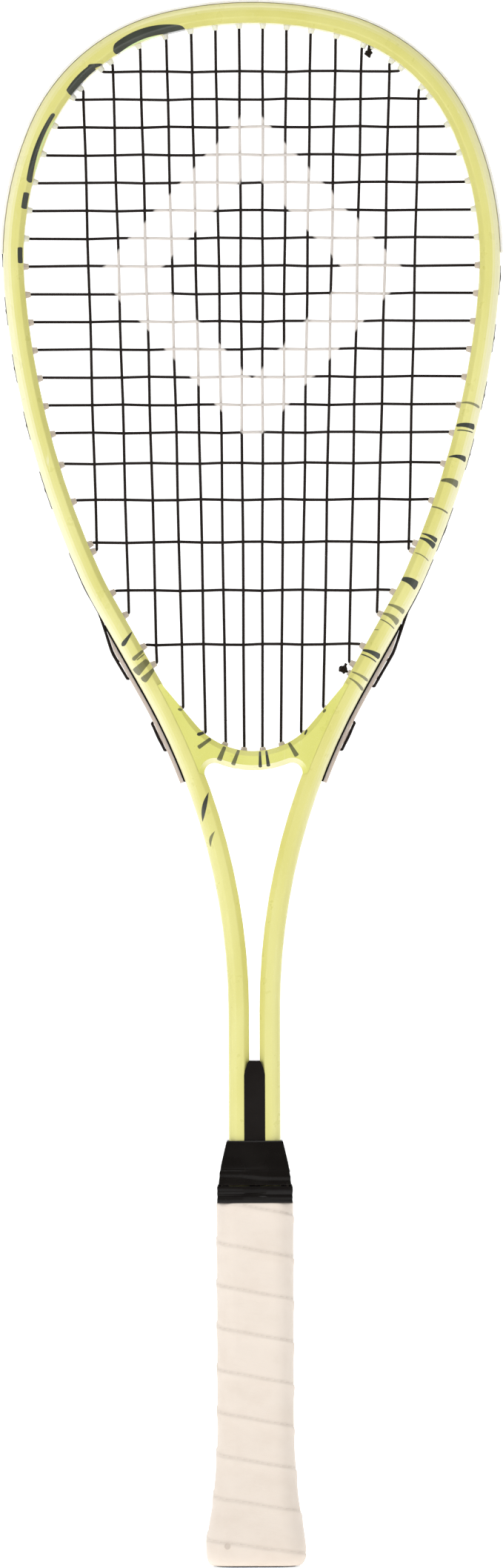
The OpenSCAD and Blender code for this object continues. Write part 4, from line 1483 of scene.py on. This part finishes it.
@dataclass
class CollarAndBand:
    """The rubber collar that slides on the legs, and the finishing band that closes the wrap."""

    collar_z: float = 166.7
    collar_length: float = 19.4
    base: Point2 = (32.0, 28.0)
    corner: float = 8.5
    legs: Point2 = (22.9, 18.8)
    legs_corner: float = 2.5
    band_low: float = 159.0
    band_high: float = 166.4
    band_outer: Point2 = (33.2, 28.8)
    band_bore: Point2 = (32.36, 27.96)
    sharpest: float = 38.0
    cut_step: float = 1.4
    side_step: float = 1.3
    profile: tuple[Point3, ...] = (
        # height over the foot, width and depth
        (0.0, 31.0, 27.0), (0.25, 31.7, 27.7), (0.8, 32.0, 28.0), (5.6, 31.2, 27.1), (6.3, 31.0, 26.9),
        (6.7, 30.4, 26.3), (7.3, 30.2, 26.1), (17.4, 25.5, 22.1), (18.6, 24.9, 21.5), (19.1, 24.5, 21.1),
        (19.4, 23.8, 20.5))

    def fold(self, angle: float, height: float) -> float:
        """Gives the relief of the folds at a place, from -1 to 1; they run slanting round the sleeve.

        Args:
            angle: direction from the long axis, in radians.
            height: height, in millimetres.

        Returns:
            The relief.
        """
        first = math.sin(1.15 * height + 2.4 * math.sin(angle + 0.6) + 1.3)
        second = math.sin(2.1 * height - 2.0 * math.sin(2 * angle + 0.4))
        return 0.6 * first * abs(math.sin(1.5 * angle + 0.5)) + 0.4 * second

    def crumple(self, piece: bpy.types.Object, low: float, high: float, depth: float, inside: float) -> None:
        """Presses folds into the outer face of a piece.

        Args:
            piece: the object.
            low: height where the folds start, in millimetres.
            high: height where they have run out.
            depth: greatest depth of a fold, in millimetres.
            inside: half width within which nothing moves, so that the bore keeps its shape.
        """
        for vert in piece.data.vertices:
            height = vert.co.z / MM
            share = (height - low) / (high - low)
            if not 0.0 < share < 1.0 or max(abs(vert.co.x) / MM + 2, abs(vert.co.y) / MM + 4) < inside:
                continue
            fade = min(1.0, 6 * share, 3 * (1 - share))
            angle = math.atan2(vert.co.y, vert.co.x)
            shift = depth * fade * (0.5 * self.fold(angle, height) - 0.5) * MM
            flat = Vector((vert.co.x, vert.co.y, 0.0)).normalized()
            vert.co += shift * flat

    def body(self, name: str, low: float, high: float, rows: int) -> bpy.types.Object:
        """Adds the rounded block of the sleeve, finely sliced so that it can take folds.

        Args:
            name: name of the object.
            low: height of its foot, in millimetres.
            high: height of its top.
            rows: rings between foot and top.

        Returns:
            The object.
        """
        piece = Block(*self.base, self.corner, low, high).add(name)
        slice_block(piece, 0, [self.cut_step * k for k in range(-4, 5)])
        slice_block(piece, 1, [self.side_step * k for k in range(-3, 4)])
        slice_block(piece, 2, [low + (high - low) * k / rows for k in range(1, rows)])
        return piece

    def reshape(self, piece: bpy.types.Object, size: Callable[[float], Point2]) -> None:
        """Scales each ring of the block to a size.

        Args:
            piece: the block of the sleeve.
            size: gives the width and depth wanted at a height, in millimetres.
        """
        edit(piece)
        for height in sorted({round(vert.co.z / MM, 3) for vert in bmesh.from_edit_mesh(piece.data).verts}):
            width, depth = size(height)
            scale_ring(piece, height, width / self.base[0], depth / self.base[1])
        bpy.ops.object.mode_set(mode="OBJECT")

    def band_size(self, height: float) -> Point2:
        """Gives the band's width and depth at a height, drawn in a little at both edges.

        Args:
            height: height, in millimetres.

        Returns:
            The width and depth, in millimetres.
        """
        share = (height - self.band_low) / (self.band_high - self.band_low)
        pinch = 0.5 * abs(2 * share - 1) ** 9
        return self.band_outer[0] - pinch, self.band_outer[1] - pinch

    def collar(self, finish: bpy.types.Material) -> bpy.types.Object:
        """Builds the collar: a tapered sleeve with a step, soft shoulders, folds at its foot and a bore.

        Args:
            finish: material of the piece.

        Returns:
            The piece.
        """
        z0, top = self.collar_z, self.collar_z + self.collar_length
        piece = self.body("sliding_collar", z0, top, 24)
        slice_block(piece, 2, [z0 + height for height, _, _ in self.profile[1:-1]])
        self.reshape(piece, lambda height: self.size_at(height - z0))
        bore(piece, Block(*self.legs, self.legs_corner, z0 - 1, top + 1))
        self.crumple(piece, z0 + 0.3, z0 + 8.5, 0.75, 15.0)
        soften(piece, self.sharpest)
        return finish_piece(piece, finish, Body.COLLAR, "black_rubber", "rubber_collar")

    def size_at(self, height: float) -> Point2:
        """Gives the collar's width and depth at a height over its foot.

        Args:
            height: height, in millimetres.

        Returns:
            The width and depth, in millimetres.
        """
        for (z_a, w_a, d_a), (z_b, w_b, d_b) in zip(self.profile, self.profile[1:]):
            if height <= z_b + 1e-6:
                share = max(0.0, (height - z_a) / (z_b - z_a))
                return w_a + (w_b - w_a) * share, d_a + (d_b - d_a) * share
        return self.profile[-1][1:]

    def band(self, finish: bpy.types.Material) -> bpy.types.Object:
        """Builds the finishing band with its folds, round the thinner top of the wrap.

        Args:
            finish: material of the piece.

        Returns:
            The piece.
        """
        low, high = self.band_low, self.band_high
        piece = self.body("finishing_band", low, high, 26)
        self.reshape(piece, self.band_size)
        bore(piece, Block(*self.band_bore, self.corner, low - 1, high + 1))
        self.crumple(piece, low + 0.1, high - 0.1, 0.42, 18.4)
        soften(piece, self.sharpest)
        return finish_piece(piece, finish, Body.RACKET, "black_tape", "finishing_tape")


# --------------------------------------------------------------------------------------------- paint

HOOP_BARS = (
    # broad bars on the inner bevel, upper left
    Bar((-60.2, 662.4), (-28.4, 671.6), 4.4, -0.12, 3.8, 26.0),
    Bar((-79.6, 643.8), (-68.6, 655.8), 3.6, -0.1, 0.9, 40.0),
    Bar((-71.5, 655.3), (-64.8, 656.9), 1.8, -0.6, 0.0, 6.0),
    Bar((-97.2, 605.2), (-86.2, 635.4), 2.2, -0.2, 1.9, 60.0),
    Bar((-99.5, 593.7), (-98.3, 600.9), 2.5, 0.0, 0.1, 30.0),
    Bar((-101.1, 569.9), (-101.2, 577.0), 2.1, 0.0, 0.1, 30.0),
    # tapered stripes round the tube, lower right
    Bar((91.3, 508.3), (99.4, 506.1), 1.0, 0.3, 0.9, 14.0, 0.72),
    Bar((89.2, 498.4), (97.2, 497.5), 2.0, 0.35, 0.6, 24.0),
    Bar((89.4, 496.3), (96.5, 495.2), 0.5, 0.0, 0.4, 14.0),
    Bar((85.7, 484.6), (93.3, 483.3), 1.6, 0.7, 0.9, 24.0),
    Bar((82.4, 474.4), (89.8, 472.3), 2.2, 0.5, 0.9, 24.0, 0.85),
    Bar((78.2, 463.0), (85.4, 459.9), 0.7, 0.1, 0.6, 14.0, 0.8),
    Bar((73.8, 451.3), (80.5, 447.8), 1.3, 0.7, 0.6, 24.0),
    Bar((72.8, 449.4), (79.5, 445.2), 1.7, 0.6, 0.8, 24.0),
    Bar((70.9, 442.9), (76.9, 439.1), 0.45, 0.0, 0.6, 14.0, 0.8),
    Bar((65.1, 431.5), (71.7, 428.0), 3.0, 0.4, 0.8, 24.0),
    Bar((58.9, 420.3), (66.1, 416.6), 1.5, 0.5, 0.7, 24.0, 0.72),
    Bar((56.9, 416.4), (63.4, 411.9), 1.9, 0.5, 0.9, 24.0, 0.72),
    Bar((55.6, 413.9), (61.8, 409.5), 0.5, 0.0, 0.5, 14.0, 0.85),
    Bar((52.9, 409.3), (55.0, 409.2), 0.4, 0.0, 0.0, 6.0, 0.7),
    Bar((47.8, 400.4), (55.4, 397.2), 1.8, 0.5, 0.6, 24.0),
    Bar((47.1, 398.6), (53.9, 395.0), 0.6, 0.0, 0.5, 14.0),
    Bar((43.1, 390.9), (50.2, 386.8), 1.0, 0.4, 0.5, 14.0, 0.72),
    Bar((41.8, 388.3), (48.0, 382.7), 1.0, 0.5, 0.6, 14.0, 0.72),
    # slashes, lower left
    Bar((-52.7, 408.9), (-57.3, 402.4), 1.5, 0.65, 0.0, 6.0),
    Bar((-47.8, 400.7), (-52.7, 396.3), 1.5, 0.3, 0.0, 10.0, 0.78),
    Bar((-47.5, 399.0), (-50.9, 396.2), 0.6, 0.0, 0.0, 8.0, 0.78),
    Bar((-45.9, 396.2), (-51.5, 390.6), 3.3, 0.25, 0.0, 24.0, 0.78),
    Bar((-42.9, 393.3), (-48.4, 387.2), 2.2, 0.55, 0.3, 16.0, 0.78),
    # slashes on the left leg
    Bar((-19.6, 338.5), (-22.3, 325.5), 2.0, 0.0, -0.6, 2.0),
    Bar((-16.9, 321.5), (-18.8, 314.5), 1.3, 0.0, -0.9, 2.0, 0.78),
)
HOOP_LINES = (
    Bar((-57.3, 661.6), (-38.5, 669.4), 0.55, 0.0, 1.5, 14.0),
    Bar((-94.6, 609.0), (-85.4, 633.2), 0.5, 0.0, 1.6, 14.0),
)
BRIDGE_BARS = (
    Bar((-33.0, 374.9), (-31.0, 374.4), 1.2, 0.0, 0.0, 3.0, 0.8),
    Bar((-24.7, 363.6), (-21.0, 364.6), 1.4, -0.4, 0.0, 4.0),
    Bar((-24.2, 357.9), (-18.6, 361.9), 1.6, -0.1, 0.0, 30.0, 0.85),
    Bar((-15.1, 352.3), (-12.5, 358.4), 1.9, -0.2, 0.0, 30.0, 0.85),
    Bar((-9.0, 350.3), (-6.4, 356.9), 1.6, -0.2, 0.0, 30.0, 0.85),
    Bar((3.0, 349.2), (2.85, 356.3), 1.25, -0.25, 0.0, 30.0),
    Bar((6.6, 349.6), (5.6, 356.6), 1.3, -0.3, 0.0, 30.0),
    Bar((19.1, 354.1), (15.5, 360.0), 1.7, -0.3, 0.0, 30.0, 0.85),
    Bar((22.4, 363.3), (23.5, 365.8), 0.9, 0.0, 0.0, 4.0),
    Bar((30.5, 373.1), (31.7, 374.6), 1.1, 0.0, 0.0, 4.0, 0.85),
)


MOULDINGS = (
    Moulded("bone_nylon_strip", (0.62, 0.535, 0.475), (0.56, 0.475, 0.415), (0.30, 0.42), 700.0, 1.2e-5,
            0.6, (0.74, 0.68, 0.62), 0.35, 0.1),
    # the bumper is the same bone nylon as the strips, made much paler: partly its own colour, partly a
    # painted highlight along the hoop's outer edge
    Moulded("bone_nylon_bumper", (0.90, 0.87, 0.76), (0.86, 0.81, 0.70), (0.28, 0.40), 700.0, 1.2e-5,
            0.9, (0.70, 0.65, 0.58), 0.45, 0.15),
    Moulded("black_polymer_part", (0.0065, 0.0045, 0.0035), (0.009, 0.007, 0.006), (0.30, 0.42), 1100.0,
            2.0e-5, 0.25, (0.04, 0.035, 0.03), gleam=0.12),
    Moulded("black_rubber_sleeve", (0.0045, 0.0034, 0.0026), (0.007, 0.0055, 0.0045), (0.24, 0.34), 1500.0,
            1.2e-5, 0.25, (0.03, 0.026, 0.022), gleam=0.16),
    Moulded("black_film_band", (0.0045, 0.0032, 0.0028), (0.006, 0.005, 0.004), (0.16, 0.24), 500.0,
            0.8e-5, 0.3, (0.03, 0.025, 0.022), gleam=0.2),
    # matt black for the liners, which draw the dark line between each side strip and the frame
    Moulded("black_foam_liner", (0.005, 0.0045, 0.0045), (0.009, 0.008, 0.0075), (0.75, 0.9), 2400.0,
            5.0e-5, 0.0, gleam=0.1),
    Moulded("pallet_foam_core", (0.35, 0.28, 0.20), (0.30, 0.24, 0.17), (0.6, 0.75), 1300.0, 6.0e-5, 0.0),
    Moulded("cream_painted_tack", (0.66, 0.57, 0.49), (0.60, 0.52, 0.45), (0.4, 0.5), 900.0, 2.0e-5,
            0.8, (0.45, 0.42, 0.38)),
)


class Paintwork:
    """Builds each finish and dresses the CAD nodes that keep their shape."""

    def __init__(self) -> None:
        """Builds the shared effects and the finishes."""
        effects = SharedEffects()
        # inner is the painted shade colour and outer the painted highlight colour of both lacquers
        inner, outer = (0.62, 0.585, 0.155), (0.86, 0.83, 0.55)
        self.tube = Lacquer("lime_lacquer_tube", (0.745, 0.715, 0.270), (0.690, 0.655, 0.205), inner, outer,
                            HOOP_BARS, HOOP_LINES).build(effects)
        self.bridge = Lacquer("lime_lacquer_bridge", (0.715, 0.710, 0.200), (0.665, 0.660, 0.160), inner,
                              outer, BRIDGE_BARS).build(effects)
        self.mouldings = {finish.name: finish.build(effects) for finish in MOULDINGS}
        self.strings = StringFinish("dark_multifilament").build()
        self.grip = GripFinish("cream_synthetic_leather").build(effects)

    def dress(self) -> None:
        """Gives each visible CAD node its finish."""
        moulded = self.mouldings
        nylon, foam = moulded["bone_nylon_strip"], moulded["black_foam_liner"]
        polymer, pallet = moulded["black_polymer_part"], moulded["pallet_foam_core"]
        coats = {
            "frame_tube": self.tube, "throat_bridge": self.bridge,
            "head_bumper": moulded["bone_nylon_bumper"],
            "side_strip_left": nylon, "side_strip_right": nylon, "bridge_strip": nylon,
            "strip_liner_left": foam, "strip_liner_right": foam, "throat_wedge": polymer,
            "pallet_front": pallet, "pallet_back": pallet, "butt_cap": polymer,
            "grip_tack": moulded["cream_painted_tack"],
        }
        for node, coat in coats.items():
            for holder in frame["nodes"][node].material_slots:
                holder.material = coat
            LOG.info("node %s wears %s", node, coat.name)


# --------------------------------------------------------------------------------------------- studio


@dataclass
class Studio:
    """A pale floor that sweeps up behind, soft lights, and a long lens straight in front."""

    distance: float = 6.0
    sensor: float = 36.0
    roll: float = 0.2
    middle: Point2 = (-0.00088, 0.342)
    view_height: float = 0.6862
    front: float = 14.0
    flat: float = 2.0
    sweep: float = 1.5
    wall: float = 9.0
    glow: float = 0.29

    def camera(self) -> None:
        """Places the camera at the middle of the racket's height, square to its front."""
        lens = bpy.data.cameras.new("view")
        lens.sensor_fit = "VERTICAL"
        lens.sensor_height = self.sensor
        lens.lens = self.sensor * self.distance / self.view_height
        holder = bpy.data.objects.new("view", lens)
        holder.location = (self.middle[0], -self.distance, self.middle[1])
        holder.rotation_euler = (math.radians(90.0), math.radians(self.roll), 0.0)
        bpy.context.scene.collection.objects.link(holder)
        bpy.context.scene.camera = holder

    def backdrop(self) -> None:
        """Builds the floor and its sweep as one smooth sheet."""
        turns = [math.radians(angle) for angle in range(0, 91, 5)]
        profile = [(-self.front, 0.0)]
        profile += [(self.flat + self.sweep * math.sin(a), self.sweep * (1 - math.cos(a))) for a in turns]
        profile.append((self.flat + self.sweep, self.wall))
        points = [(x, y, z) for y, z in profile for x in (-self.wall, self.wall)]
        faces = [(r, r + 1, r + 3, r + 2) for r in range(0, len(points) - 2, 2)]
        floor = link_mesh("studio_floor", points, faces)
        sheet, bsdf = material("pale_floor")
        white = (1.0, 1.0, 1.0, 1.0)
        sheet.fill(bsdf, {"Base Color": (0.92, 0.92, 0.92, 1.0), "Roughness": 0.9, "Specular IOR Level": 0.1,
                          "Emission Color": white, "Emission Strength": 0.54})
        # the sweep is clear from behind, so that the racket's back can be looked at
        facing = sheet.node("ShaderNodeNewGeometry").outputs["Backfacing"]
        clear = sheet.node("ShaderNodeBsdfTransparent").outputs["BSDF"]
        either = sheet.fill(sheet.node("ShaderNodeMixShader"), {0: facing, 1: bsdf.outputs["BSDF"], 2: clear})
        sheet.feed(sheet.tree.nodes["Material Output"].inputs["Surface"], either.outputs["Shader"])
        floor.data.materials.append(bpy.data.materials["pale_floor"])

    def lights(self) -> None:
        """Hangs three soft boxes and gives the room an even white glow."""
        boxes = (("key", (-3.0, -2.3, 1.3), (0.9, 3.2), 51.0),
                 ("fill", (3.0, -2.5, 1.2), (0.9, 3.2), 27.0),
                 ("top", (0.0, -0.8, 3.2), (2.2, 2.2), 33.0))
        for name, place, (across, tall), power in boxes:
            lamp = bpy.data.lights.new(name, "AREA")
            lamp.shape, lamp.size, lamp.size_y, lamp.energy = "RECTANGLE", across, tall, power
            holder = bpy.data.objects.new(name, lamp)
            holder.location = place
            aim = Vector((0.0, 0.0, 0.4)) - Vector(place)
            holder.rotation_euler = aim.to_track_quat("-Z", "Y").to_euler()
            bpy.context.scene.collection.objects.link(holder)
        world = bpy.data.worlds.new("room")
        world.use_nodes = True
        sheet = Sheet(world.node_tree)
        seen = sheet.node("ShaderNodeLightPath").outputs["Is Camera Ray"]
        strength = sheet.ramp(seen, 0.0, 1.0, self.glow, 1.0)
        sheet.fill(sheet.tree.nodes["Background"], {"Color": (1.0, 1.0, 1.0, 1.0), "Strength": strength})
        bpy.context.scene.world = world
        bpy.context.scene.view_settings.view_transform = "Standard"

    def build(self) -> None:
        """Sets up the camera, the floor and the lights."""
        self.camera()
        self.backdrop()
        self.lights()


def write_sizes() -> None:
    """Updates the view layer so that every object's place is current."""
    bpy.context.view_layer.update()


def main() -> None:
    """Builds the studio, dresses the frame and models the pieces round it."""
    logging.basicConfig(level=logging.INFO, format="%(name)s: %(message)s")
    Studio().build()
    paint = Paintwork()
    paint.dress()
    StringBed(Hoop()).build(paint.strings)
    Grip().build(paint.grip)
    fittings = CollarAndBand()
    fittings.collar(paint.mouldings["black_rubber_sleeve"])
    fittings.band(paint.mouldings["black_film_band"])
    write_sizes()


if __name__ == "__main__":
    main()
